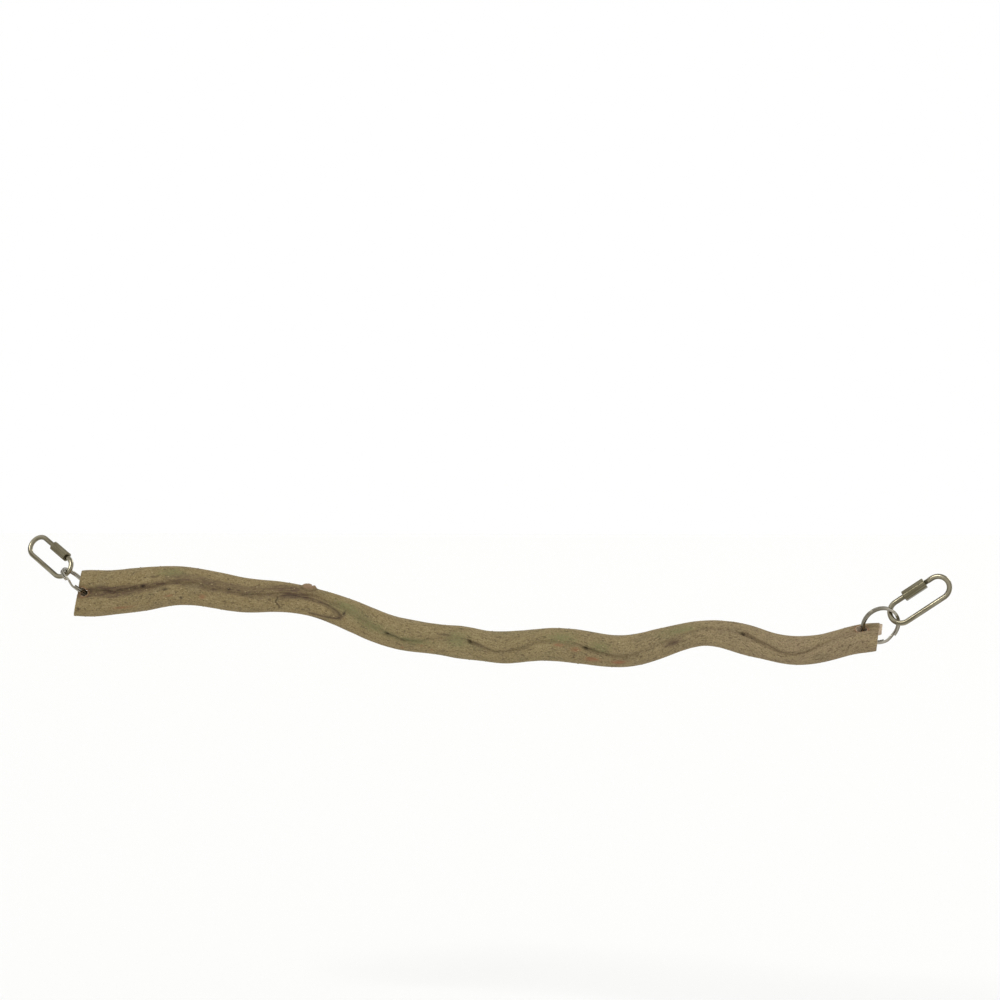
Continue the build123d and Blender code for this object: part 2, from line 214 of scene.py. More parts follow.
# The camera's place from the left hole, so that it follows the part, and the way it looks.
CAMERA_FROM_HOLE = (0.9035, -1.8404, 0.0604)
CAMERA_YAW, CAMERA_PITCH = math.radians(16.76), math.radians(0.41)
SENSOR_WIDTH = 36.0
LIGHT_PLACES = {"key_light": (-0.7, -1.5, 1.5), "back_light": (0.9, 1.5, 1.1)}
FLOOR_REACH = 60
WHITE = (1, 1, 1, 1)


def length_of(name, description, default):
    """A length in metres for the panel."""
    return FloatProperty(name=name, description=description, default=default, unit="LENGTH")


def angle_of(name, description, degrees):
    """An angle for the panel, given in degrees."""
    return FloatProperty(name=name, description=description, default=math.radians(degrees), subtype="ANGLE")


def colour_of(name, description, default):
    """A colour for the panel, as sRGB hex."""
    return StringProperty(name=name, description=f"{description}, sRGB hex", default=default)


class VineSettings(PropertyGroup):
    """Sizes and colours of the vine."""

    length: length_of("Length", "Butt to tip", 0.647)
    rise: length_of("Rise", "Height of the bends", 0.046)
    sway: length_of("Sway", "Bends front to back", 0.012)
    butt_height: length_of("Butt height", "Tallest section, across both lobes", 0.038)
    butt_depth: length_of("Butt depth", "Thickness of the thickest lobe", 0.020)
    front_groove: length_of("Front groove", "Radius of the furrow that faces the viewer", 0.003)
    back_groove: length_of("Back groove", "Radius of the furrow behind", 0.0045)
    butt_lean: angle_of("Butt cut", "Lean of the saw cut", 10)
    butt_heading: angle_of("Butt turn", "Turn of the butt's cut about the upright", 24)
    tip_lean: angle_of("Tip cut", "Lean of the saw cut", 6.5)
    tip_heading: angle_of("Tip turn", "Turn of the tip's cut about the upright", 8)
    step: length_of("Step", "What the saw left proud of the tip", 0.0024)
    stub_lean: angle_of("Stub lean", "Towards the front, from the crown", 30)
    stub_height: length_of("Stub", "Height of the dead stub", 0.0027)
    drill: length_of("Drill", "Diameter of the holes", 0.007)
    rows_along: IntProperty(name="Rows", description="Mesh rows along the vine", default=800, min=50)
    crease_depth: length_of("Crease", "Depth of the crease in the furrow", 0.0011)
    wrinkle: length_of("Wrinkles", "Height of the lengthwise wrinkles", 0.00016)
    lump: length_of("Lumps", "Height of the slow lumps", 0.0004)
    lenticel_gap: length_of("Lenticel gap", "Least distance between corky dots", 0.0065)
    fibres: FloatProperty(
        name="Fibres", description="Torn fibres in a square metre at the holes", default=1.2e6
    )
    seed: IntProperty(name="Seed", description="Seed of everything scattered", default=7)
    skin: colour_of("Skin", "Main colour of the dry skin", "#887651")
    furrow: colour_of("Furrow", "Colour of the dark furrows", "#513f33")
    end_grain: colour_of("End grain", "Colour of the sawn ends", "#cbb9a1")


class FittingSettings(PropertyGroup):
    """Sizes and colours of the split rings and the screw quick links."""

    ring_diameter: length_of("Ring", "Outer diameter", 0.030)
    wire_width: length_of("Wire width", "Across the ring's face", 0.0022)
    wire_thickness: length_of("Wire thickness", "Along the ring's axis", 0.0013)
    wire_corner: length_of("Wire corner", "Rounding of the wire", 0.00035)
    coil_gap: length_of("Coil gap", "Between the two turns", 0.00045)
    jog: angle_of("Jog", "Angle of the step", 30)
    tip_gap: angle_of("Tip gap", "Before the wire's tip", 3)
    left_jog: angle_of("Left jog", "Where the left ring steps", -101)
    right_jog: angle_of("Right jog", "Where the right ring steps", -88)
    rod: length_of("Rod", "Diameter of the link's rod", 0.0040)
    link_length: length_of("Link length", "Outside", 0.053)
    link_width: length_of("Link width", "Outside", 0.021)
    stud: length_of("Stud", "Short threaded end", 0.008)
    gate: length_of("Gate", "Gap that the sleeve closes", 0.006)
    pitch: length_of("Pitch", "Of the thread", 0.0006)
    thread_depth: length_of("Thread depth", "Root below crest", 0.0003)
    sleeve_length: length_of("Sleeve", "Length of the nut", 0.0185)
    across_flats: length_of("Across flats", "Of the nut", 0.0075)
    clearance: length_of("Clearance", "Nut to rod", 0.00005)
    end_chamfer: length_of("End chamfer", "Off the nut's corners", 0.0009)
    mouth_chamfer: length_of("Mouth chamfer", "Of the bore", 0.0003)
    rod_chamfer: length_of("Rod chamfer", "Of the rod's ends", 0.0004)
    play: length_of("Play", "Ring to link", 0.0003)
    left_place: length_of("Left nut", "From the bend by the stud", 0.0022)
    right_place: length_of("Right nut", "From the bend by the stud", 0.0059)
    ring_colour: colour_of("Ring colour", "Nickel plate", "#a8a395")
    link_colour: colour_of("Link colour", "Zinc plate", "#918b76")
    sleeve_colour: colour_of("Sleeve colour", "Zinc plate", "#7c7661")


class StageSettings(PropertyGroup):
    """Camera, light and floor."""

    lens: FloatProperty(name="Lens", description="Focal length in mm on a 36 mm sensor", default=90.0)
    world_light: FloatProperty(name="World", description="Strength of the even light", default=0.80)
    floor_lift: FloatProperty(name="Floor lift", description="Light that the seen floor adds", default=0.005)
    key_light: FloatProperty(name="Key", description="Strength of the soft key light", default=0.95)
    back_light: FloatProperty(name="Back", description="Strength of the soft light from behind", default=0.55)
    softness: angle_of("Softness", "Width of both lights", 18)
    floor_drop: length_of("Floor", "Floor below the perch's lowest point", 0.30)


def linear(hex_colour):
    """Linear RGBA of an sRGB hex colour."""
    shares = [int(hex_colour[i : i + 2], 16) / 255 for i in (1, 3, 5)]
    return tuple(s / 12.92 if s <= 0.04045 else ((s + 0.055) / 1.055) ** 2.4 for s in shares) + (1.0,)


def add_node(tree, kind, inputs=None, **settings):
    """Adds a node with its settings, and sets or links its inputs."""
    node = tree.nodes.new(kind)
    for name, value in settings.items():
        setattr(node, name, value)
    for key, value in (inputs or {}).items():
        socket = node.inputs[key]
        if isinstance(value, bpy.types.NodeSocket):
            tree.links.new(value, socket)
        else:
            socket.default_value = value
    return node


def start_material(name):
    """A material with its node tree and its Principled shader."""
    material = bpy.data.materials.new(name)
    material.use_nodes = True
    return material, material.node_tree, material.node_tree.nodes["Principled BSDF"]


def grained(tree, place, grains):
    """Noise patterns by name, each with its own size of lumps along and across the piece."""
    patterns = {}
    for name, length, width, detail in grains:
        scale = (1 / length, 1 / width, 1 / width)
        scaled = add_node(tree, "ShaderNodeMapping", {"Vector": place, "Scale": scale}).outputs[0]
        noise = add_node(tree, "ShaderNodeTexNoise", {"Vector": scaled, "Scale": 1.0, "Detail": detail})
        patterns[name] = noise.outputs["Fac"]
    return patterns


def layered(tree, sources, colour, layers):
    """Lays one colour after another over the first, each by the strength of its pattern."""
    for name, low, high, share, over in layers:
        reach = {"From Min": low, "From Max": high, "To Min": 0.0, "To Max": share}
        strength = add_node(tree, "ShaderNodeMapRange", {"Value": sources[name], **reach}).outputs[0]
        mixed = {0: strength, 6: colour, 7: linear(over)}
        colour = add_node(tree, "ShaderNodeMix", mixed, data_type="RGBA").outputs[2]
    return colour


def air_dried_bark(vine):
    """Liana with its skin on, air-dried: a dull olive-tan skin with fine dark and pale grit, dark furrows and
    reddish rubbed patches, and paler end grain with growth rings where it is sawn."""
    material, tree, shader = start_material("vine_bark_air_dried")
    place = add_node(tree, "ShaderNodeAttribute", attribute_name="vine_place").outputs["Vector"]
    sources = {"along": add_node(tree, "ShaderNodeSeparateXYZ", {0: place}).outputs["X"]}
    for name in SKIN_FIELDS:
        sources[name] = add_node(tree, "ShaderNodeAttribute", attribute_name=name).outputs["Fac"]
    sources.update(grained(tree, place, BARK_GRAINS))
    # Stains and rubs are broken up along the fibres.
    reach = {"From Min": 0.36, "From Max": 0.64, "To Min": 0.45, "To Max": 1.3}
    streaks = add_node(tree, "ShaderNodeMapRange", {"Value": sources["fibre"], **reach}).outputs[0]
    for name in ("stain", "rub", "bloom", "stub"):
        broken = add_node(tree, "ShaderNodeMath", {0: sources[name], 1: streaks}, operation="MULTIPLY")
        sources[name] = broken.outputs[0]
    turns = {0: sources["pith"], 1: 2 * math.pi / GROWTH_RING}
    turns = add_node(tree, "ShaderNodeMath", turns, operation="MULTIPLY").outputs[0]
    sources["growth"] = add_node(tree, "ShaderNodeMath", {0: turns}, operation="SINE").outputs[0]
    sawn = layered(tree, sources, linear(vine.end_grain), END_LAYERS)
    colour = layered(tree, sources, linear(vine.skin), SKIN_LAYERS)
    colour = layered(tree, sources, colour, [("stain", 0.0, 1.0, 0.92, vine.furrow), *WOUND_LAYERS])
    whole = add_node(tree, "ShaderNodeMix", {0: sources["cut"], 6: colour, 7: sawn}, data_type="RGBA")
    tree.links.new(whole.outputs[2], shader.inputs["Base Color"])
    shader.inputs["Roughness"].default_value = 0.82
    shader.inputs["Specular IOR Level"].default_value = 0.22
    fine = add_node(tree, "ShaderNodeMath", {0: sources["grit"], 1: sources["fibre"]}, operation="ADD")
    relief = {"Strength": 0.55, "Distance": 0.0004, "Height": fine.outputs[0]}
    tree.links.new(add_node(tree, "ShaderNodeBump", relief).outputs[0], shader.inputs["Normal"])
    return material


def toned_bark(name, dark, pale):
    """Dry cork or torn fibre, matt, each piece of its own tone between two."""
    material, tree, shader = start_material(name)
    tone = add_node(tree, "ShaderNodeAttribute", attribute_name="tone").outputs["Fac"]
    colour = layered(tree, {"tone": tone}, linear(dark), [("tone", 0.2, 0.8, 1.0, pale)])
    tree.links.new(colour, shader.inputs["Base Color"])
    shader.inputs["Roughness"].default_value = 0.85
    return material


def plated_steel(name, colour, shade, roughness):
    """Steel, drawn or turned and then plated: a warm grey metal with duller, darker patches where the plating
    is thin, and streaks along the way it was drawn that vary its roughness and relief.
    The streaks also darken the colour in bands along the piece: a painted reflection."""
    material, tree, shader = start_material(name)
    place = add_node(tree, "ShaderNodeAttribute", attribute_name="metal_place").outputs["Vector"]
    sources = grained(tree, place, PLATE_GRAINS)
    # Painted reflection: the streak layer darkens the colour in bands along the piece.
    layers = [("worn", 0.45, 0.68, 0.4, shade), ("streak_and_painted_reflection", 0.44, 0.58, 0.85, shade)]
    tree.links.new(layered(tree, sources, linear(colour), layers), shader.inputs["Base Color"])
    shader.inputs["Metallic"].default_value = 1.0
    reach = {"From Min": 0.3, "From Max": 0.7, "To Min": roughness - 0.05, "To Max": roughness + 0.07}
    rough = add_node(tree, "ShaderNodeMapRange", {"Value": sources["streak_and_painted_reflection"], **reach}).outputs[0]
    tree.links.new(rough, shader.inputs["Roughness"])
    relief = {"Strength": 0.15, "Distance": 0.00003, "Height": sources["streak_and_painted_reflection"]}
    tree.links.new(add_node(tree, "ShaderNodeBump", relief).outputs[0], shader.inputs["Normal"])
    return material


def unit(vectors):
    """Vectors brought to length one."""
    return vectors / np.linalg.norm(vectors, axis=-1, keepdims=True)


def bell(distance, width):
    """One at zero distance, falling smoothly over the width."""
    return np.exp(-((distance / width) ** 2))


def between(values, low, high):
    """Smooth step from zero at low to one at high."""
    share = np.clip((values - low) / (high - low), 0, 1)
    return share * share * (3 - 2 * share)


def smooth_tracks(knots, tracks, places):
    """Natural cubic curves through the tracks' values at the knots, read at the given places."""
    steps = np.diff(knots)
    system = np.eye(len(knots))
    right = np.zeros_like(tracks)
    for i in range(1, len(knots) - 1):
        system[i, i - 1 : i + 2] = steps[i - 1], 2 * (steps[i - 1] + steps[i]), steps[i]
        right[i] = 6 * ((tracks[i + 1] - tracks[i]) / steps[i] - (tracks[i] - tracks[i - 1]) / steps[i - 1])
    bend = np.linalg.solve(system, right)
    k = np.clip(np.searchsorted(knots, places) - 1, 0, len(knots) - 2)
    step = steps[k][:, None]
    before = (places - knots[k])[:, None]
    after = step - before
    return (
        (bend[k] * after**3 + bend[k + 1] * before**3) / (6 * step)
        + (tracks[k] / step - bend[k] * step / 6) * after
        + (tracks[k + 1] / step - bend[k + 1] * step / 6) * before
    )


def lump_noise(points, seed):
    """Smooth noise from -1 to 1 at points whose unit is the size of one lump."""
    cell = np.floor(points).astype(np.int64)
    ease = points - cell
    ease = ease * ease * (3 - 2 * ease)
    total = np.zeros(points.shape[:-1])
    for corner in np.ndindex(2, 2, 2):
        # The numbers only mix the corner's place and the seed into an even spread.
        key = (cell + np.array(corner)) * np.array([73856093, 19349663, 83492791])
        mixed = (key[..., 0] ^ key[..., 1] ^ key[..., 2] ^ (seed * 26544357)) & 0xFFFFFFF
        mixed = (mixed * 1103515245 + 12345) & 0x7FFFFFFF
        mixed = ((mixed ^ (mixed >> 13)) * 1274126177) & 0x7FFFFFFF
        weight = np.prod(np.where(corner, ease, 1 - ease), axis=-1)
        total += weight * (mixed / 0x3FFFFFFF - 1)
    return total


def furrow(upper_radius, lower_radius, upper_place, lower_place, radius):
    """Centre of the arc that touches both lobes, and its bearing from the upper and lower one."""
    upper_reach, lower_reach = upper_radius + radius, lower_radius + radius
    spread = upper_place - lower_place
    above_lower = (lower_reach**2 - upper_reach**2 + spread**2) / (2 * spread)
    out = math.sqrt(lower_reach**2 - above_lower**2)
    place = lower_place + above_lower
    return place, out, math.atan2(out, place - upper_place), math.atan2(out, above_lower)


def lobed_outline(vine, tall, deep, lower_share):
    """Points round one section, first axis up across the lobes, second out of the front furrow. The first
    points are the front furrow's. Also gives the height of the web between the furrows, and the lobes'
    places."""
    upper, lower = deep / 2 * (1 - lower_share), deep / 2 * (1 + lower_share)
    high, low = tall / 2 - upper, lower - tall / 2
    front = furrow(upper, lower, high, low, vine.front_groove)
    back = furrow(upper, lower, high, low, vine.back_groove)
    arcs = [
        (front[0], front[1], vine.front_groove, front[3] - math.pi, front[2] - math.pi, FRONT_POINTS),
        (high, 0, upper, front[2], 0, LOBE_POINTS),
        (high, 0, upper, 0, -back[2], LOBE_POINTS),
        (back[0], -back[1], vine.back_groove, math.pi - back[2], math.pi - back[3], BACK_POINTS),
        (low, 0, lower, -back[3], -math.pi, LOBE_POINTS),
        (low, 0, lower, math.pi, front[3], LOBE_POINTS),
    ]
    rounds = []
    for up, out, radius, first, last, count in arcs:
        turn = np.linspace(first, last, count, endpoint=False)
        rounds.append(np.stack([up + radius * np.cos(turn), out + radius * np.sin(turn)], axis=-1))
    return np.concatenate(rounds), (front[0] + back[0]) / 2, (high, low)


def crown_of(row, vine):
    """Radius of the upper lobe at a station."""
    return row[4] * vine.butt_depth / 2 * (1 - row[5])


class VineGrid:
    """The vine's skin as rows of points, with what each feature of the skin needs to find its place."""

    def __init__(self, vine):
        table = np.array(STATION_SHARES)
        centres = table[:, [0, 2, 1]] * np.array([vine.length, vine.sway, vine.rise])
        knots = np.concatenate([[0], np.cumsum(np.linalg.norm(np.diff(centres, axis=0), axis=1))])
        ways = self.section_ways(vine, centres, knots)
        outlines, skins, lobes = [], [], []
        for number, (centre, way, row) in enumerate(zip(centres, ways, table)):
            tall, deep = row[3] * vine.butt_height, row[4] * vine.butt_depth
            outline, web, lobe_places = lobed_outline(vine, tall, deep, row[5])
            up = unit(np.array([0, 0, 1]) - way * way[2])
            front = np.cross(way, up)
            across = up * math.cos(math.radians(row[6])) - front * math.sin(math.radians(row[6]))
            out = np.cross(way, across)
            skins.append(centre + outline[:, :1] * across + outline[:, 1:] * out)
            outlines.append(outline)
            lobes.append(lobe_places)
            if number == BUTT_HOLE_ROW:
                hole = centre + web * across
            if number == STUB_ROW:
                crown = crown_of(row, vine)
                stub = centre + (lobe_places[0] + crown * math.cos(vine.stub_lean)) * across
                stub = stub + crown * math.sin(vine.stub_lean) * out
        # The left hole lies where its joint is.
        shift = np.array(JOINTS[HOLES[0]]["pos_m"]) - hole
        self.along = np.linspace(0, knots[-1], vine.rows_along)
        self.points = self.rows_through(knots, skins) + shift
        self.outline = self.rows_through(knots, outlines)
        self.lobes = smooth_tracks(knots, np.array(lobes), self.along)
        self.share = np.interp(self.along, knots, table[:, 0])
        self.stub = stub + shift
        self.tip_lobe = crown_of(table[-1], vine)
        steps = np.linalg.norm(np.roll(self.points, -1, axis=1) - self.points, axis=2)
        girth = np.concatenate([np.zeros((len(steps), 1)), np.cumsum(steps, axis=1)], axis=1)
        self.from_front = self.round_distance(girth, FRONT_MIDDLE)
        self.from_back = self.round_distance(girth, BACK_MIDDLE)
        top, bottom = self.points[..., 2].max(axis=1), self.points[..., 2].min(axis=1)
        self.tall = (top - bottom)[:, None]
        self.down = top[:, None] - self.points[..., 2]
        self.normals = self.skin_normals()
        # The viewer stands on the -Y side.
        self.facing = np.clip(-self.normals[..., 1] * 3, 0, 1)

    @staticmethod
    def section_ways(vine, centres, knots):
        """The way along at each station; the first and the last are those of the saw cuts."""
        nudge = 1e-5
        ahead, behind = (smooth_tracks(knots, centres, knots + step) for step in (nudge, -nudge))
        ways = unit(ahead - behind)
        cuts = ((0, vine.butt_heading, vine.butt_lean), (-1, vine.tip_heading, vine.tip_lean))
        for end, heading, lean in cuts:
            level = math.cos(lean)
            ways[end] = level * math.cos(heading), level * math.sin(heading), -math.sin(lean)
        return ways

    def rows_through(self, knots, sections):
        """Rows of points along the vine, through the sections at the knots."""
        sections = np.array(sections)
        tracks = sections.reshape(len(sections), -1)
        return smooth_tracks(knots, tracks, self.along).reshape(-1, *sections.shape[1:])

    @staticmethod
    def round_distance(girth, column):
        """Distance round the skin from one column, positive towards the upper lobe from the front."""
        whole = girth[:, -1:]
        distance = girth[:, :-1] - girth[:, column : column + 1]
        return distance - whole * np.round(distance / whole)

    def skin_normals(self):
        """Ways out of the skin."""
        lengthwise = np.gradient(self.points, axis=0)
        round_way = np.roll(self.points, -1, axis=1) - np.roll(self.points, 1, axis=1)
        return unit(np.cross(lengthwise, round_way))


class VineSkin:
    """The skin while it is dressed: how far each point moves out in metres, and the fields that colour it."""

    def __init__(self, vine, grid):
        self.vine, self.grid = vine, grid
        self.share = grid.share[:, None]
        size = grid.points.shape[:2]
        along = np.broadcast_to(grid.along[:, None, None], size + (1,))
        self.local = np.concatenate([along, grid.outline], axis=-1)
        self.move = np.zeros(size)
        self.marks = {name: np.zeros(size) for name in SKIN_FIELDS}
        # The furrows wander a little, and their edges are ragged and mottled.
        self.wander = 0.0009 * self.lumps(11, 0.012, 1) + 0.0004 * self.lumps(12, 0.004, 1)
        self.front = grid.from_front + self.wander
        self.back = grid.from_back - self.wander
        self.ragged = self.lumps(13, 0.009, 0.002)
        self.mottled = np.clip(0.85 + 0.45 * self.lumps(14, 0.006, 0.0013), 0, 1)

    def lumps(self, seed, length, width):
        """Noise over the skin, with lumps of the given size."""
        return lump_noise(self.local / np.array([length, width, width]), seed)

    def from_place(self, share):
        """Distance along from a place that is given as a share of the vine's length."""
        return (self.share - share) * self.vine.length

    def roughen(self):
        """Slow lumps and lengthwise wrinkles."""
        vine = self.vine
        self.move += vine.lump * self.lumps(vine.seed, 0.028, 0.012)
        self.move += vine.wrinkle * self.lumps(vine.seed + 1, 0.022, 0.0022)
        self.move += 0.6 * vine.wrinkle * self.lumps(vine.seed + 2, 0.007, 0.0014)

    def crease_furrows(self):
        """Crease in the front furrow between two low ridges, a softer one behind, and their dark bands."""
        depth, share, front, back = self.vine.crease_depth, self.share, self.front, self.back
        crease = np.interp(share, *np.array(CREASE_SHARES).T)
        dark = np.interp(share, *np.array(STAIN_SHARES).T)
        self.move -= depth * crease * bell(front, 0.0009)
        self.move += 0.3 * depth * crease * bell(np.abs(front) - 0.0024, 0.0012)
        self.move -= 0.7 * depth * bell(back, 0.0010) * (0.6 + 0.4 * self.lumps(21, 0.03, 0.03))
        half_band = 0.0004 + 0.0030 * (1 - between(share, 0.06, 0.14))
        past_band = np.maximum(np.abs(front + 0.0011 * self.ragged) - half_band, 0)
        self.marks["stain"] += dark * self.mottled * bell(past_band, 0.0019)
        self.marks["stain"] += 0.55 * bell(back, 0.0022) * (0.6 + 0.4 * self.ragged)
        faded = 1 - 0.6 * between(share, 0.88, 0.92)
        self.marks["scar"] += 0.3 * crease * bell(front, 0.00045) * faded

    def crease_bend(self):
        """Fine creases beside the furrow where the vine first bends down."""
        bend = between(self.share, 0.11, 0.15) * (1 - between(self.share, 0.29, 0.33))
        for offset, strength in FINE_CREASES:
            away = self.front - offset - 0.6 * self.wander - 0.0005 * self.ragged
            line = bell(away, 0.0007) * bend * strength
            line = line * np.clip(0.6 + 0.6 * self.lumps(int(offset * 1e5) + 40, 0.011, 0.01), 0, 1)
            self.move -= 0.0005 * line
            self.marks["stain"] += line
        past_band = np.maximum(np.abs(self.front - 0.0035) - 0.003, 0)
        self.marks["stain"] += 0.3 * bend * self.mottled * bell(past_band, 0.0018)

    def pit_buds(self):
        """Old buds: a pit with a raised lip on the side that the furrow comes from."""
        for bud in BUD_SHARES:
            away = self.from_place(bud)
            pit = bell(away - 0.0004, 0.0013) * bell(self.front, 0.0010)
            lip = bell(away + 0.0030, 0.0022) * bell(self.front, 0.0026)
            self.move += -0.0013 * pit + 0.0005 * lip
            self.marks["scar"] += 0.45 * pit
            self.marks["stain"] += 0.2 * bell(away - 0.004, 0.006) * bell(self.front, 0.0020)

    def close_wound(self):
        """Tongue of an overgrown wound: an arch over it, its closed tip on the right, a double lower edge."""
        facing = self.grid.facing
        x, y = self.from_place(0.3115), self.grid.down - 0.0138
        rim = np.hypot(x / 0.0275, y / np.where(y < 0, 0.0062, 0.0046))
        shown = facing * np.where(y < 0, between(x, -0.0265, -0.0200), between(x, -0.0020, 0.0040))
        below = (y > 0) * (1 - between(x, 0.012, 0.018))
        broad = 1 + 0.6 * (y < 0) * (1 - between(x, 0.004, 0.014))
        self.move += facing * 0.0007 * np.clip(1 - rim**2, 0, 1)
        for place, strength in ((1.0, 1.0), (0.80, 0.4), (1.5, 0.8 * below)):
            line = bell((rim - place) + 0.06 * self.ragged, 0.06) * shown * strength
            self.move -= 0.0007 * line
            self.marks["scar"] += 0.6 * line
            self.marks["stain"] += 0.6 * bell(rim - place, 0.13 * broad) * shown * strength

    def crack_lobe(self):
        """Jagged crack across the lower lobe."""
        down = self.grid.down
        path = self.from_place(0.2725) + 0.0011 * np.sin(down / 0.0011) - 0.22 * (down - 0.017)
        ends = between(down, 0.0095, 0.0110) * (1 - between(down, 0.0200, 0.0220))
        crack = bell(path, 0.00055) * ends * self.grid.facing
        self.move -= 0.0007 * crack
        self.marks["scar"] += 0.9 * crack

    def mark_front(self):
        """Scars, bruises, rubs and green bloom on the front."""
        for kind, place, face, length, height, tilt in SKIN_MARKS:
            x = self.from_place(place) / (length * MM / 2)
            y = (self.grid.down - face * self.grid.tall) / (height * MM / 2)
            cosine, sine = math.cos(math.radians(tilt)), math.sin(math.radians(tilt))
            spot = bell(np.hypot(x * cosine + y * sine, y * cosine - x * sine), 1.0) * self.grid.facing
            if kind == "bruise":
                self.marks["stain"] += 1.1 * spot
                self.marks["scar"] += 0.25 * spot
            else:
                self.marks[kind] += 1.1 * spot
            self.move -= 0.00025 * spot

    def break_stub(self):
        """Dead stub on the upper side, broken off short."""
        reach = np.linalg.norm((self.grid.points - self.grid.stub) / np.array([1.25, 1.0, 0.8]), axis=-1)
        broken = 0.0007 * self.lumps(31, 0.0022, 0.0022)
        stub = between(0.0056 + broken - reach, 0.0, 0.0024)
        self.move += stub * (self.vine.stub_height - 0.0004 + 1.6 * broken)
        self.marks["stub"] += between(0.0052 + broken - reach, 0.0, 0.0012)
        self.marks["scar"] += 0.45 * bell(reach - 0.0058 - broken, 0.0006)

    def clear_holes(self):
        """Near the holes the skin only sinks, so that the rings stay free."""
        for name in HOLES:
            away = np.linalg.norm(self.grid.points - np.array(JOINTS[name]["pos_m"]), axis=-1)
            near = 1 - between(away, 0.016, 0.026)
            self.move = np.where(self.move > 0, self.move * (1 - near), self.move * (1 - 0.5 * near))


def dress_skin(vine, grid):
    """Moves the skin in and out for its features. Returns its fields and its own coordinates."""
    skin = VineSkin(vine, grid)
    skin.roughen()
    skin.crease_furrows()
    skin.crease_bend()
    skin.pit_buds()
    skin.close_wound()
    skin.crack_lobe()
    skin.mark_front()
    skin.break_stub()
    skin.clear_holes()
    grid.points = grid.points + grid.normals * skin.move[..., None]
    return {name: np.clip(values, 0, 1) for name, values in skin.marks.items()}, skin.local


def band(first, second):
    """Quads between two closed rows of points, which are given by their numbers."""
    return list(zip(first, second, np.roll(second, -1), np.roll(first, -1)))


def closed_vine(vine, grid, marks, local):
    """Joins the rows into one closed skin with a sawn face at each end. Returns points, faces, the places on
    the skin and its fields."""
    rows, columns = grid.points.shape[:2]
    points, places = [grid.points.reshape(-1, 3)], [local.reshape(-1, 3)]
    fields = {name: [values.reshape(-1)] for name, values in marks.items()}
    numbers = np.arange(rows * columns).reshape(rows, columns)
    faces = [quad for this, beyond in zip(numbers, numbers[1:]) for quad in band(this, beyond)]
    for row, inward_row in ((0, 4), (rows - 1, -5)):
        at_tip = row > 0
        middle, core = grid.points[row].mean(axis=0), grid.outline[row].mean(axis=0)
        way = unit(middle - grid.points[inward_row].mean(axis=0))
        ring = numbers[row]
        for number, scale in enumerate(FACE_RINGS):
            at_rim = number == 0
            shape = middle + (grid.points[row] - middle) * scale
            outline = core + (grid.outline[row] - core) * scale
            lobes = [np.hypot(outline[:, 0] - lobe, outline[:, 1]) for lobe in grid.lobes[row]]
            proud = SAW_LINE * np.sin(shape[:, 2] / SAW_GAP) + SAW_TEAR * lump_noise(shape / TEAR_SIZE, 51)
            proud = proud + (RIM_OUT if at_rim else FACE_OUT)
            if at_tip:
                # The saw left part of the upper lobe standing.
                step_place = grid.lobes[row][0] + STEP_PLACE * grid.tip_lobe
                from_step = np.hypot(outline[:, 0] - step_place, outline[:, 1])
                inside = STEP_REACH * grid.tip_lobe - from_step
                proud = proud + vine.step * between(inside, -STEP_EDGE, STEP_EDGE)
            inner = np.arange(columns) + sum(len(p) for p in points)
            points.append(shape + way * proud[:, None])
            places.append(np.concatenate([np.full((columns, 1), grid.along[row]), outline], axis=1))
            known = {"cut": 0.35 if at_rim else 1.0, "pith": np.minimum(*lobes)}
            for name in fields:
                fields[name].append(np.broadcast_to(known.get(name, 0.0), columns).astype(float))
            faces += [quad if at_tip else quad[::-1] for quad in band(ring, inner)]
            ring = inner
        faces.append(tuple(ring[::-1]) if at_tip else tuple(ring))
    fields = {name: np.concatenate(values) for name, values in fields.items()}
    return np.concatenate(points), faces, np.concatenate(places), fields


def new_object(name, data):
    """Links an object that holds the mesh, lamp or camera."""
    made = bpy.data.objects.new(name, data)
    bpy.context.scene.collection.objects.link(made)
    return made


def mesh_from(name, points, faces):
    """Mesh of the points and faces."""
    mesh = bpy.data.meshes.new(name)
    mesh.from_pydata([tuple(p) for p in points], [], [tuple(int(i) for i in f) for f in faces])
    mesh.update()
    return mesh


def store(mesh, name, values):
    """Keeps a number or a vector for each point of the mesh."""
    kind, key = ("FLOAT", "value") if values.ndim == 1 else ("FLOAT_VECTOR", "vector")
    attribute = mesh.attributes.new(name, kind, "POINT")
    attribute.data.foreach_set(key, values.astype(np.float32).ravel())


def baked(obj):
    """Gives the object the mesh that its modifiers make, and takes the modifiers off."""
    depsgraph = bpy.context.evaluated_depsgraph_get()
    mesh = bpy.data.meshes.new_from_object(obj.evaluated_get(depsgraph), depsgraph=depsgraph)
    obj.modifiers.clear()
    obj.data = mesh
    return obj


def drill_rod(joint, radius):
    """Rod as wide as the drill, along the hole."""
    sides, reach = 40, 0.03
    turns = np.linspace(0, 2 * math.pi, sides, endpoint=False)
    turn = np.array(Vector(joint["axis"]).to_track_quat("Z", "Y").to_matrix())
    ring = np.stack([radius * np.cos(turns), radius * np.sin(turns), np.zeros(sides)], axis=1)
    points = np.concatenate([ring + (0, 0, -reach), ring + (0, 0, reach)]) @ turn.T + np.array(joint["pos_m"])
    faces = [(i, (i + 1) % sides, sides + (i + 1) % sides, sides + i) for i in range(sides)]
    faces += [tuple(range(sides - 1, -1, -1)), tuple(range(sides, 2 * sides))]
    return new_object("drill_rod", mesh_from("drill_rod", points, faces))


def drill_holes(obj, vine):
    """Drills both holes through the vine."""
    for name in HOLES:
        rod = drill_rod(JOINTS[name], vine.drill / 2)
        cut = obj.modifiers.new("drill", "BOOLEAN")
        cut.operation, cut.solver, cut.object = "DIFFERENCE", "EXACT", rod
        baked(obj)
        bpy.data.objects.remove(rod)


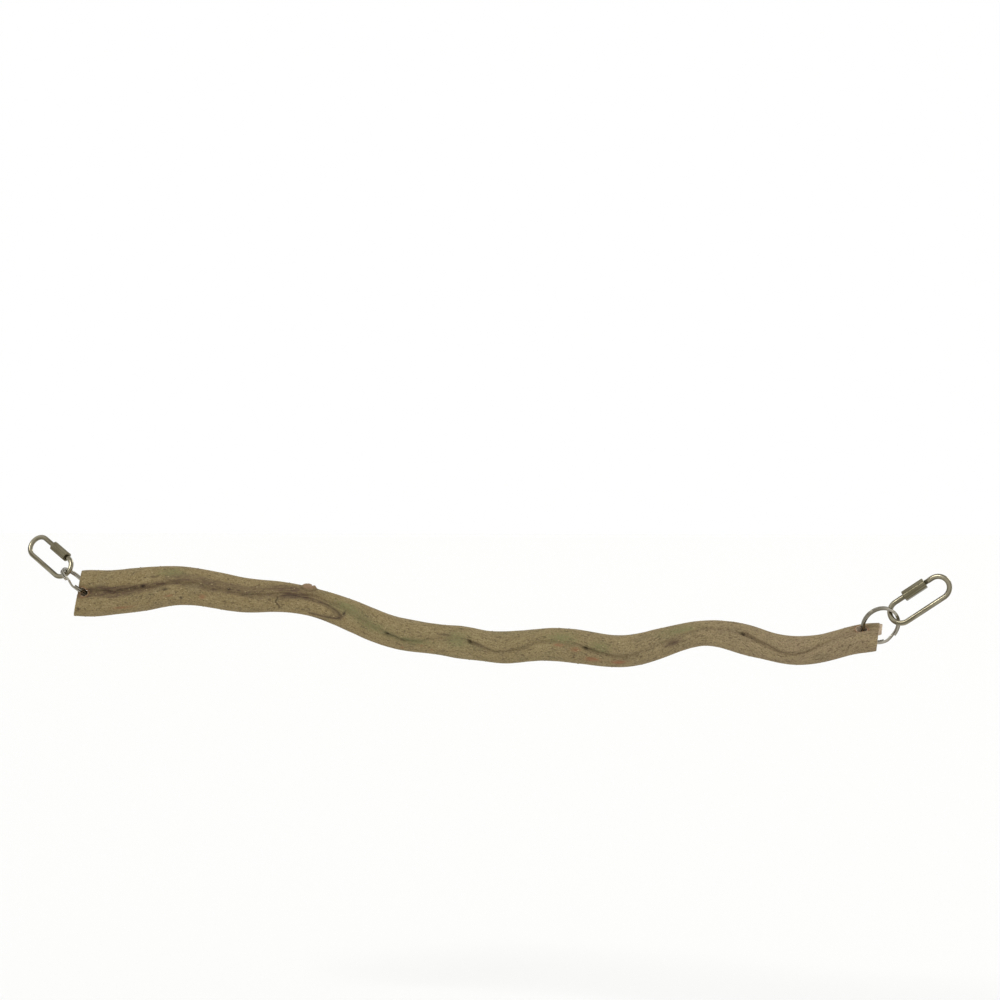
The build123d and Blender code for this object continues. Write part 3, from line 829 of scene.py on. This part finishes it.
def nearest_of(points, found):
    """Number of the nearest of the points, and its distance, for each found one."""
    tree = KDTree(len(points))
    for number, point in enumerate(points):
        tree.insert(point, number)
    tree.balance()
    nearest = np.array([tree.find(place)[1:] for place in found])
    return nearest[:, 0].astype(int), nearest[:, 1]


def hole_marks(vine, found, off):
    """What the drill did at each point: whether it is on a hole's wall, how torn and how frayed it is, and
    the way out from the hole there."""
    wall = np.zeros(len(found), bool)
    torn, fray, way = np.zeros(len(found)), np.zeros(len(found)), np.zeros((len(found), 3))
    off_drill, off_skin = 2e-5, 1e-6
    for name in HOLES:
        joint = JOINTS[name]
        hole, axis = np.array(joint["pos_m"]), np.array(joint["axis"])
        away = found - hole
        outward = away - np.outer(away @ axis, axis)
        radius = np.linalg.norm(outward, axis=1)
        wall |= (np.abs(radius - vine.drill / 2) < off_drill) & (off > off_skin)
        near = bell(np.maximum(radius - vine.drill / 2 - TORN_WIDTH, 0), TORN_FADE)
        near = near * (np.abs(away @ axis) < TORN_REACH)
        torn = np.maximum(torn, near)
        # Where the ring swings it has rubbed the fibres off.
        pull = np.array(JOINTS[name.replace("ring", "link")]["pos_m"]) - hole
        turn = np.degrees(np.arctan2(np.cross(pull, outward) @ axis, outward @ pull))
        low, high = joint["range_deg"]
        near = np.where((turn > low - RUBBED_PAST) & (turn < high + RUBBED_PAST), 0.0, near)
        fray = np.maximum(fray, near)
        way += outward / np.maximum(radius, 1e-6)[:, None] * near[:, None]
    return wall, np.where(wall, 0.0, torn), np.where(wall, 0.0, fray), way


def mark_skin(mesh, vine, points, places, fields):
    """Gives the drilled mesh the fields of the skin, and those of the holes' walls and torn rims."""
    found = np.array([v.co for v in mesh.vertices])
    index, off = nearest_of(points, found)
    wall, torn, fray, way = hole_marks(vine, found, off)
    wall_cut, wall_rub, torn_share = 0.85, 0.35, 0.8
    fields = {name: values[index] for name, values in fields.items()}
    store(mesh, "fray", fray)
    store(mesh, "skin_only", (1 - np.maximum(fields["cut"], wall)) * (torn < 0.05))
    store(mesh, "fray_way", way)
    fields["cut"] = np.where(wall, wall_cut, fields["cut"])
    for name in ("stain", "scar"):
        fields[name] = np.where(wall, 0.0, fields[name] * (1 - torn_share * torn))
    fields["rub"] = np.where(wall, wall_rub, np.maximum(fields["rub"], torn_share * torn))
    for name, values in fields.items():
        store(mesh, name, values)
    store(mesh, "vine_place", places[index] + (found - points[index]))


def start_tree(name, inputs):
    """A geometry tree with its named inputs, given as name and kind of socket."""
    tree = bpy.data.node_groups.new(name, "GeometryNodeTree")
    tree.interface.new_socket("Geometry", in_out="OUTPUT", socket_type="NodeSocketGeometry")
    for label, kind in (("Geometry", "Geometry"), *inputs, ("Material", "Material")):
        tree.interface.new_socket(label, in_out="INPUT", socket_type=f"NodeSocket{kind}")
    return tree, add_node(tree, "NodeGroupInput").outputs


def finish_tree(tree, geometry, given):
    """Ends the tree: real geometry with its material."""
    real = add_node(tree, "GeometryNodeRealizeInstances", {0: geometry}).outputs[0]
    dressed = {"Geometry": real, "Material": given["Material"]}
    add_node(tree, "NodeGroupOutput", {0: add_node(tree, "GeometryNodeSetMaterial", dressed).outputs[0]})
    return tree


def grown(name, mesh, tree, values):
    """Object with the mesh that the tree makes of the given one."""
    obj = new_object(name, mesh)
    modifier = obj.modifiers.new("grow", "NODES")
    modifier.node_group = tree
    sockets = {item.name: item.identifier for item in tree.interface.items_tree if item.in_out == "INPUT"}
    for label, value in values.items():
        modifier[sockets[label]] = value
    return baked(obj)


def settle(obj, origin, x, y, z):
    """Moves the mesh into its place, so that the object itself stays at the origin."""
    turn = Matrix((x, y, z)).transposed().to_4x4()
    obj.data.transform(Matrix.Translation(origin) @ turn)
    obj.data.shade_smooth()
    obj.data.set_sharp_from_angle(angle=METAL_EDGE)


def ring_tree():
    """Flat wire wound along two level turns with an eased jog between them."""
    sizes = ("Radius", "Half Rise", "First Angle", "Turn", "Jog", "Width", "Thickness", "Corner")
    tree, given = start_tree("wound_ring", [(name, "Float") for name in sizes])
    line = add_node(tree, "GeometryNodeCurvePrimitiveLine", mode="POINTS").outputs[0]
    line = add_node(tree, "GeometryNodeResampleCurve", {"Curve": line, "Count": 540}, mode="COUNT").outputs[0]
    factor = add_node(tree, "GeometryNodeSplineParameter").outputs["Factor"]
    turn, jog, rise = given["Turn"], given["Jog"], given["Half Rise"]
    turns = add_node(tree, "ShaderNodeMath", {0: turn, 1: 2.0, 2: jog}, operation="MULTIPLY_ADD").outputs[0]
    wound = add_node(tree, "ShaderNodeMath", {0: factor, 1: turns}, operation="MULTIPLY").outputs[0]
    angle = add_node(tree, "ShaderNodeMath", {0: wound, 1: given["First Angle"]}, operation="ADD").outputs[0]
    jog_end = add_node(tree, "ShaderNodeMath", {0: turn, 1: jog}, operation="ADD").outputs[0]
    fall = add_node(tree, "ShaderNodeMath", {0: rise, 1: -1.0}, operation="MULTIPLY").outputs[0]
    eased = {"Value": wound, "From Min": turn, "From Max": jog_end, "To Min": rise, "To Max": fall}
    height = add_node(tree, "ShaderNodeMapRange", eased, interpolation_type="SMOOTHSTEP").outputs[0]
    across = []
    for operation in ("COSINE", "SINE"):
        share = add_node(tree, "ShaderNodeMath", {0: angle}, operation=operation).outputs[0]
        reach = {0: share, 1: given["Radius"]}
        across.append(add_node(tree, "ShaderNodeMath", reach, operation="MULTIPLY").outputs[0])
    place = add_node(tree, "ShaderNodeCombineXYZ", {0: across[0], 1: across[1], 2: height}).outputs[0]
    wire = add_node(tree, "GeometryNodeSetPosition", {"Geometry": line, "Position": place}).outputs[0]
    wire = add_node(tree, "GeometryNodeSetCurveNormal", {"Curve": wire}, mode="Z_UP").outputs[0]
    flat = {"Width": given["Width"], "Height": given["Thickness"]}
    profile = add_node(tree, "GeometryNodeCurvePrimitiveQuadrilateral", flat, mode="RECTANGLE").outputs[0]
    rounded = {"Curve": profile, "Radius": given["Corner"], "Count": 3}
    profile = add_node(tree, "GeometryNodeFilletCurve", rounded, mode="POLY").outputs[0]
    return finish_tree(tree, swept(tree, wire, profile, 1.0), given)


def swept(tree, path, profile, girth):
    """Sweeps the profile along the path, and keeps the distance along and round it for the plate's patterns:
    its worn patches, its streaks and its painted reflection bands.
    """
    marks = []
    for curve in (path, profile):
        distance = add_node(tree, "GeometryNodeSplineParameter").outputs["Length"]
        capture = add_node(tree, "GeometryNodeCaptureAttribute", domain="POINT")
        capture.capture_items.new("FLOAT", "distance")
        tree.links.new(curve, capture.inputs[0])
        tree.links.new(distance, capture.inputs[1])
        marks.append(capture.outputs)
    sweep = {"Curve": marks[0][0], "Profile Curve": marks[1][0], "Scale": girth, "Fill Caps": True}
    tube = add_node(tree, "GeometryNodeCurveToMesh", sweep).outputs[0]
    place = add_node(tree, "ShaderNodeCombineXYZ", {0: marks[0][1], 1: marks[1][1]}).outputs[0]
    return add_node(
        tree,
        "GeometryNodeStoreNamedAttribute",
        {"Geometry": tube, "Name": "metal_place", "Value": place},
        data_type="FLOAT_VECTOR",
        domain="POINT",
    ).outputs[0]


def rod_path(fit, bend, straight):
    """Middle line of the bent rod from the stud's end to the leg's end, with its girth and where it is
    threaded."""
    leg_end = fit.stud + fit.gate
    thread_start, thread_end, lead, near_bend = 0.0035, 0.0200, 0.0005, 0.0017
    fine, coarse = fit.pitch / 8, 0.0012
    turns = np.linspace(0, math.pi, 40)
    stud_end = [fit.stud, fit.stud - fit.rod_chamfer]
    stud = np.concatenate([stud_end, np.arange(fit.stud - lead, thread_start, -fine), [near_bend]])
    plain, threads = np.arange(straight, thread_end, -coarse), np.arange(thread_end, leg_end + lead, -fine)
    leg = np.concatenate([plain, threads, [leg_end + fit.rod_chamfer, leg_end]])
    points = [(x, bend, 0) for x in stud] + [(0, bend, 0)]
    points += [(-bend * math.sin(t), bend * math.cos(t), 0) for t in turns[1:-1]]
    points += [(x, -bend, 0) for x in np.arange(0, straight, coarse)]
    points += [(straight + bend * math.sin(t), -bend * math.cos(t), 0) for t in turns[:-1]]
    points += [(x, bend, 0) for x in leg]
    mesh = bpy.data.meshes.new("rod_path")
    mesh.from_pydata(points, [(i, i + 1) for i in range(len(points) - 1)], [])
    x, y = np.array(points)[:, 0], np.array(points)[:, 1]
    on_gate = y > bend - 1e-7
    threaded = on_gate & (x < thread_end) & (x > thread_start)
    ends = np.minimum(np.abs(x - fit.stud), np.abs(x - leg_end)) + ~on_gate
    store(mesh, "threaded", threaded * between(ends, 0.0004, 0.0008))
    store(mesh, "girth", 1 - np.clip(1 - ends / fit.rod_chamfer, 0, 1) * 2 * fit.rod_chamfer / fit.rod)
    return mesh


def rod_tree():
    """Round rod along its path, with a helical thread cut where the path says so."""
    tree, given = start_tree("bent_rod", [(name, "Float") for name in ("Rod", "Pitch", "Depth")])
    path = add_node(tree, "GeometryNodeMeshToCurve", {"Mesh": given["Geometry"]}).outputs[0]
    radius = add_node(tree, "ShaderNodeMath", {0: given["Rod"], 1: 0.5}, operation="MULTIPLY").outputs[0]
    circle = {"Resolution": 28, "Radius": radius}
    profile = add_node(tree, "GeometryNodeCurvePrimitiveCircle", circle, mode="RADIUS").outputs[0]
    girth, threaded, place = (
        add_node(tree, "GeometryNodeInputNamedAttribute", {"Name": name}, data_type=kind).outputs[0]
        for name, kind in (("girth", "FLOAT"), ("threaded", "FLOAT"), ("metal_place", "FLOAT_VECTOR"))
    )
    tube = swept(tree, path, profile, girth)
    place = add_node(tree, "ShaderNodeSeparateXYZ", {0: place}).outputs
    # Turns of the thread gone by: one a pitch along the rod, less the way round it.
    along = add_node(tree, "ShaderNodeMath", {0: place[0], 1: given["Pitch"]}, operation="DIVIDE").outputs[0]
    whole = add_node(tree, "ShaderNodeMath", {0: radius, 1: 2 * math.pi}, operation="MULTIPLY").outputs[0]
    share = add_node(tree, "ShaderNodeMath", {0: place[1], 1: whole}, operation="DIVIDE").outputs[0]
    turns = add_node(tree, "ShaderNodeMath", {0: along, 1: share}, operation="SUBTRACT").outputs[0]
    cut = add_node(tree, "ShaderNodeMath", {0: turns, 1: 0.5}, operation="PINGPONG").outputs[0]
    for factor in (-2.0, given["Depth"], threaded):
        cut = add_node(tree, "ShaderNodeMath", {0: cut, 1: factor}, operation="MULTIPLY").outputs[0]
    normal = add_node(tree, "GeometryNodeInputNormal").outputs[0]
    sunk = add_node(tree, "ShaderNodeVectorMath", {0: normal, "Scale": cut}, operation="SCALE").outputs[0]
    tube = add_node(tree, "GeometryNodeSetPosition", {"Geometry": tube, "Offset": sunk}).outputs[0]
    return finish_tree(tree, tube, given)


def turned_sleeve(fit, place, bend):
    """Long hexagonal nut with softened corners, coned ends and a threaded bore, on the gate's straight."""
    columns, bore_rows, softened = 96, 180, 0.00012
    corner = fit.across_flats / math.sqrt(3)
    turns = np.linspace(0, 2 * math.pi, columns, endpoint=False)
    # A corner lies on the first direction round; a flat lies half way to the next.
    from_flat = (turns % (math.pi / 3)) - math.pi / 6
    hexagon = np.minimum(fit.across_flats / 2 / np.cos(from_flat), corner - softened)
    rise = fit.end_chamfer / math.sqrt(3)
    bore = fit.rod / 2 + fit.clearance
    rows = []
    for share in (0, 0.5, 1):
        rows.append((rise * share, np.minimum(hexagon, corner - fit.end_chamfer * (1 - share))))
    rows += [(fit.sleeve_length - x, r) for x, r in reversed(rows)]
    mouth = np.full(columns, bore + fit.mouth_chamfer)
    rows.append((fit.sleeve_length, mouth))
    for x in np.linspace(fit.sleeve_length - fit.mouth_chamfer, fit.mouth_chamfer, bore_rows):
        groove = np.abs((x / fit.pitch - turns / (2 * math.pi)) % 1 - 0.5) * 2
        inside = between(min(x, fit.sleeve_length - x), 0.0004, 0.0010)
        rows.append((x, bore + inside * 0.7 * fit.thread_depth * groove))
    rows.append((0, mouth))
    around = [(x, r, t) for x, radii in rows for r, t in zip(radii, turns)]
    points = [(place + x, bend + r * math.sin(t), r * math.cos(t)) for x, r, t in around]
    numbers = np.arange(len(points)).reshape(len(rows), columns)
    neighbours = zip(numbers, np.roll(numbers, -1, axis=0))
    faces = [quad for this, beyond in neighbours for quad in band(this, beyond)]
    mesh = mesh_from("screwed_sleeve", points, faces)
    store(mesh, "metal_place", np.array([(x, r * t, 0) for x, r, t in around]))
    return mesh


def scattered(tree, points, shape, turn, given, low, high):
    """Puts the shape on the points, each of its own size and tone."""
    sizes = {2: low, 3: high, "Seed": given["Seed"]}
    size = add_node(tree, "FunctionNodeRandomValue", sizes, data_type="FLOAT").outputs[1]
    put = {"Points": points, "Instance": shape, "Rotation": turn, "Scale": size}
    many = add_node(tree, "GeometryNodeInstanceOnPoints", put).outputs[0]
    other = add_node(tree, "ShaderNodeMath", {0: given["Seed"], 1: 5.0}, operation="ADD").outputs[0]
    tones = {2: 0.0, 3: 1.0, "Seed": other}
    tone = add_node(tree, "FunctionNodeRandomValue", tones, data_type="FLOAT").outputs[1]
    many = add_node(
        tree,
        "GeometryNodeStoreNamedAttribute",
        {"Geometry": many, "Name": "tone", "Value": tone},
        data_type="FLOAT",
        domain="INSTANCE",
    ).outputs[0]
    return finish_tree(tree, many, given)


def grow_lenticels(vine_obj, vine):
    """Corky dots all over the skin, longer along the vine."""
    tree, given = start_tree("lenticels", [("Gap", "Float"), ("Seed", "Int")])
    skin = {"Name": "skin_only"}
    skin = add_node(tree, "GeometryNodeInputNamedAttribute", skin, data_type="FLOAT").outputs[0]
    spread = {
        "Mesh": given["Geometry"],
        "Distance Min": given["Gap"],
        "Density Max": 90000.0,
        "Density Factor": skin,
        "Seed": given["Seed"],
    }
    dots = add_node(
        tree, "GeometryNodeDistributePointsOnFaces", spread, distribute_method="POISSON"
    ).outputs
    ball = {"Segments": 8, "Rings": 5, "Radius": 0.00045}
    dot = add_node(tree, "GeometryNodeMeshUVSphere", ball).outputs[0]
    dot = add_node(tree, "GeometryNodeTransform", {"Geometry": dot, "Scale": (0.75, 1.5, 0.45)}).outputs[0]
    turn = add_node(
        tree,
        "FunctionNodeAxesToRotation",
        {"Primary Axis": dots["Normal"], "Secondary Axis": (1.0, 0.0, 0.0)},
        primary_axis="Z",
        secondary_axis="Y",
    ).outputs[0]
    tree = scattered(tree, dots["Points"], dot, turn, given, 0.55, 1.25)
    cork = toned_bark("lenticel_cork_dry", "#54462f", "#a4936d")
    values = {"Gap": vine.lenticel_gap, "Seed": vine.seed, "Material": cork}
    obj = grown("vine_lenticels", vine_obj.data.copy(), tree, values)
    obj.data.shade_smooth()
    return obj


def grow_fibres(vine_obj, vine):
    """Fibres that the drill tore up round the mouths of the holes, leaning away from them."""
    tree, given = start_tree("torn_fibres", [("Density", "Float"), ("Seed", "Int")])
    near, away = (
        add_node(tree, "GeometryNodeInputNamedAttribute", {"Name": name}, data_type=kind).outputs[0]
        for name, kind in (("fray", "FLOAT"), ("fray_way", "FLOAT_VECTOR"))
    )
    density = {0: near, 1: given["Density"]}
    density = add_node(tree, "ShaderNodeMath", density, operation="MULTIPLY").outputs[0]
    spread = {"Mesh": given["Geometry"], "Density": density, "Seed": given["Seed"]}
    roots = add_node(
        tree, "GeometryNodeDistributePointsOnFaces", spread, distribute_method="RANDOM"
    ).outputs
    cone = {"Radius Top": 0.00004, "Radius Bottom": 0.00016, "Depth": 0.0019}
    fibre = add_node(tree, "GeometryNodeMeshCone", {"Vertices": 5, "Side Segments": 3, **cone}).outputs[0]
    strays = {0: (-0.5, -0.5, -0.5), 1: (0.5, 0.5, 0.5), "Seed": given["Seed"]}
    stray = add_node(tree, "FunctionNodeRandomValue", strays, data_type="FLOAT_VECTOR").outputs[0]
    lean = {0: roots["Normal"], "Scale": 0.3}
    lean = add_node(tree, "ShaderNodeVectorMath", lean, operation="SCALE").outputs[0]
    for other in (away, stray):
        lean = add_node(tree, "ShaderNodeVectorMath", {0: lean, 1: other}, operation="ADD").outputs[0]
    turn = add_node(tree, "FunctionNodeAlignRotationToVector", {"Vector": lean}, axis="Z").outputs[0]
    tree = scattered(tree, roots["Points"], fibre, turn, given, 0.5, 1.0)
    torn = toned_bark("torn_fibre_raw", "#4a3828", "#96683c")
    values = {"Density": vine.fibres, "Seed": vine.seed, "Material": torn}
    return grown("vine_torn_fibres", vine_obj.data.copy(), tree, values)


class PERCH_OT_grow_vine(Operator):
    """Grows the vine with its skin, furrows, old buds, sawn ends and drilled holes"""

    bl_idname = "perch.grow_vine"
    bl_label = "Grow vine"

    def execute(self, context):
        vine = context.scene.perch_vine
        grid = VineGrid(vine)
        marks, local = dress_skin(vine, grid)
        points, faces, places, fields = closed_vine(vine, grid, marks, local)
        obj = new_object("vine_with_bark", mesh_from("vine_with_bark", points, faces))
        drill_holes(obj, vine)
        mark_skin(obj.data, vine, points, places, fields)
        obj.data.shade_smooth()
        obj.data.set_sharp_from_angle(angle=BARK_EDGE)
        obj.data.materials.append(air_dried_bark(vine))
        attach(obj, "branch")
        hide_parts("vine_branch")
        for growth in (grow_lenticels(obj, vine), grow_fibres(obj, vine)):
            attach(growth, "branch")
        return {"FINISHED"}


class PERCH_OT_wind_rings(Operator):
    """Winds both split rings of flat spring wire"""

    bl_idname = "perch.wind_rings"
    bl_label = "Wind rings"

    def execute(self, context):
        fit = context.scene.perch_fittings
        steel = plated_steel("spring_wire_nickel_plated", fit.ring_colour, "#5e5849", 0.13)
        tree = ring_tree()
        radius = (fit.ring_diameter - fit.wire_width) / 2
        for side, jog in (("left", fit.left_jog), ("right", fit.right_jog)):
            hole, pivot = JOINTS[f"{side}_ring_swing"], JOINTS[f"{side}_link_swing"]
            pull = (Vector(pivot["pos_m"]) - Vector(hole["pos_m"])).normalized()
            axis = pull.cross(Vector(hole["axis"]))
            ring = grown(
                f"{side}_wound_ring",
                bpy.data.meshes.new(f"{side}_wound_ring"),
                tree,
                {
                    "Radius": radius,
                    "Half Rise": (fit.wire_thickness + fit.coil_gap) / 2,
                    "First Angle": jog + fit.jog / 2 + fit.tip_gap,
                    "Turn": 2 * math.pi - fit.jog - fit.tip_gap,
                    "Jog": fit.jog,
                    "Width": fit.wire_width,
                    "Thickness": fit.wire_thickness,
                    "Corner": fit.wire_corner,
                    "Material": steel,
                },
            )
            settle(ring, Vector(pivot["pos_m"]) - pull * radius, pull, axis.cross(pull), axis)
            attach(ring, f"{side}_ring")
            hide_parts(f"{side}_split_ring")
        return {"FINISHED"}


class PERCH_OT_bend_links(Operator):
    """Bends both quick links from rod, with their threads, and screws their sleeves on"""

    bl_idname = "perch.bend_links"
    bl_label = "Bend links"

    def execute(self, context):
        fit = context.scene.perch_fittings
        rod_steel = plated_steel("bent_rod_zinc_plated", fit.link_colour, "#575140", 0.14)
        nut_steel = plated_steel("turned_hexagon_zinc_plated", fit.sleeve_colour, "#5f5944", 0.20)
        tree = rod_tree()
        bend = (fit.link_width - fit.rod) / 2
        straight = fit.link_length - fit.link_width
        bundle = math.hypot(fit.wire_width, 2 * fit.wire_thickness + fit.coil_gap) / 2
        seat = bend - fit.rod / 2 - bundle - fit.play
        for side, place in (("left", fit.left_place), ("right", fit.right_place)):
            slide = Vector(JOINTS[f"{side}_sleeve_travel"]["axis"])
            pivot = Vector(JOINTS[f"{side}_link_swing"]["pos_m"])
            start = pivot + slide * (seat if side == "left" else -seat - straight)
            low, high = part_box(f"{side}_link_sleeve")
            gate = (low + high) / 2 - start
            gate = (gate - slide * gate.dot(slide)).normalized()
            rod = grown(
                f"{side}_bent_rod",
                rod_path(fit, bend, straight),
                tree,
                {"Rod": fit.rod, "Pitch": fit.pitch, "Depth": fit.thread_depth, "Material": rod_steel},
            )
            nut = new_object(f"{side}_screwed_sleeve", turned_sleeve(fit, place, bend))
            nut.data.materials.append(nut_steel)
            for obj, body, node, slot in (
                (rod, "link", "link_body", "link_steel"),
                (nut, "sleeve", "link_sleeve", "sleeve_steel"),
            ):
                settle(obj, start, slide, gate, slide.cross(gate))
                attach(obj, f"{side}_{body}")
                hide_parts(f"{side}_{node}")
        return {"FINISHED"}


def seen_ray(tree):
    """One for rays from the camera, also by way of a mirror or glass, and zero for the rest."""
    path = add_node(tree, "ShaderNodeLightPath").outputs
    seen = path["Is Camera Ray"]
    for other in ("Is Glossy Ray", "Is Transmission Ray"):
        seen = add_node(tree, "ShaderNodeMath", {0: seen, 1: path[other]}, operation="MAXIMUM").outputs[0]
    return seen


def lay_floor(stage):
    """Matt white floor below the perch."""
    low, far = CAD_BOX[0].z - stage.floor_drop, FLOOR_REACH
    corners = [(-far, -far, low), (far, -far, low), (far, far, low), (-far, far, low)]
    floor = new_object("floor", mesh_from("floor", corners, [(0, 1, 2, 3)]))
    material, tree, shader = start_material("floor_matt_white_paint")
    shader.inputs["Base Color"].default_value = linear("#f2f2f1")
    shader.inputs["Roughness"].default_value = 0.9
    # What the eye and the metal see of the floor is lifted to white; it still takes a shadow.
    shader.inputs["Emission Color"].default_value = WHITE
    lift = {"Value": seen_ray(tree), "To Min": 0.0, "To Max": stage.floor_lift}
    lift = add_node(tree, "ShaderNodeMapRange", lift).outputs[0]
    tree.links.new(lift, shader.inputs["Emission Strength"])
    floor.data.materials.append(material)


def light_world(scene, stage):
    """Even white light, seen as plain white."""
    world = bpy.data.worlds.new("even_white")
    scene.world = world
    world.use_nodes = True
    tree = world.node_tree
    light = {"Value": seen_ray(tree), "To Min": stage.world_light, "To Max": 1.0}
    light = add_node(tree, "ShaderNodeMapRange", light).outputs[0]
    background = tree.nodes["Background"]
    background.inputs["Color"].default_value = WHITE
    tree.links.new(light, background.inputs["Strength"])


def hang_lamps(stage):
    """Two soft lamps, one from the front and one from behind."""
    for name, place in LIGHT_PLACES.items():
        lamp = bpy.data.lights.new(name, "SUN")
        lamp.energy, lamp.angle = getattr(stage, name), stage.softness
        obj = new_object(name, lamp)
        obj.location = place
        obj.rotation_euler = (-Vector(place)).to_track_quat("-Z", "Y").to_euler()


def set_camera(scene, stage):
    """Camera that looks at the perch's front from the right."""
    camera = bpy.data.cameras.new("camera")
    camera.lens, camera.sensor_width = stage.lens, SENSOR_WIDTH
    obj = new_object("camera", camera)
    obj.location = Vector(JOINTS[HOLES[0]]["pos_m"]) + Vector(CAMERA_FROM_HOLE)
    level = math.cos(CAMERA_PITCH)
    look = (-math.sin(CAMERA_YAW) * level, math.cos(CAMERA_YAW) * level, math.sin(CAMERA_PITCH))
    obj.rotation_euler = Vector(look).to_track_quat("-Z", "Y").to_euler()
    scene.camera = obj


class PERCH_OT_set_stage(Operator):
    """Sets the floor, the lamps, the world and the camera"""

    bl_idname = "perch.set_stage"
    bl_label = "Set stage"

    def execute(self, context):
        stage = context.scene.perch_stage
        lay_floor(stage)
        light_world(context.scene, stage)
        hang_lamps(stage)
        set_camera(context.scene, stage)
        context.scene.view_settings.view_transform = "Standard"
        return {"FINISHED"}


class VIEW3D_PT_perch(Panel):
    """Settings and steps of the perch"""

    bl_label = "Vine perch"
    bl_space_type = "VIEW_3D"
    bl_region_type = "UI"
    bl_category = "Perch"

    def draw(self, context):
        for group in (context.scene.perch_vine, context.scene.perch_fittings, context.scene.perch_stage):
            for name in group.__annotations__:
                self.layout.prop(group, name)
        for operator in OPERATORS:
            self.layout.operator(operator.bl_idname)


GROUPS = {"perch_vine": VineSettings, "perch_fittings": FittingSettings, "perch_stage": StageSettings}
OPERATORS = [PERCH_OT_set_stage, PERCH_OT_grow_vine, PERCH_OT_wind_rings, PERCH_OT_bend_links]


def register():
    for cls in [*GROUPS.values(), *OPERATORS, VIEW3D_PT_perch]:
        bpy.utils.register_class(cls)
    for name, cls in GROUPS.items():
        setattr(bpy.types.Scene, name, PointerProperty(type=cls))


def unregister():
    for name in GROUPS:
        delattr(bpy.types.Scene, name)
    for cls in [VIEW3D_PT_perch, *reversed(OPERATORS), *reversed(list(GROUPS.values()))]:
        bpy.utils.unregister_class(cls)


def main():
    register()
    bpy.ops.perch.set_stage()
    bpy.ops.perch.grow_vine()
    bpy.ops.perch.wind_rings()
    bpy.ops.perch.bend_links()


if __name__ == "__main__":
    main()
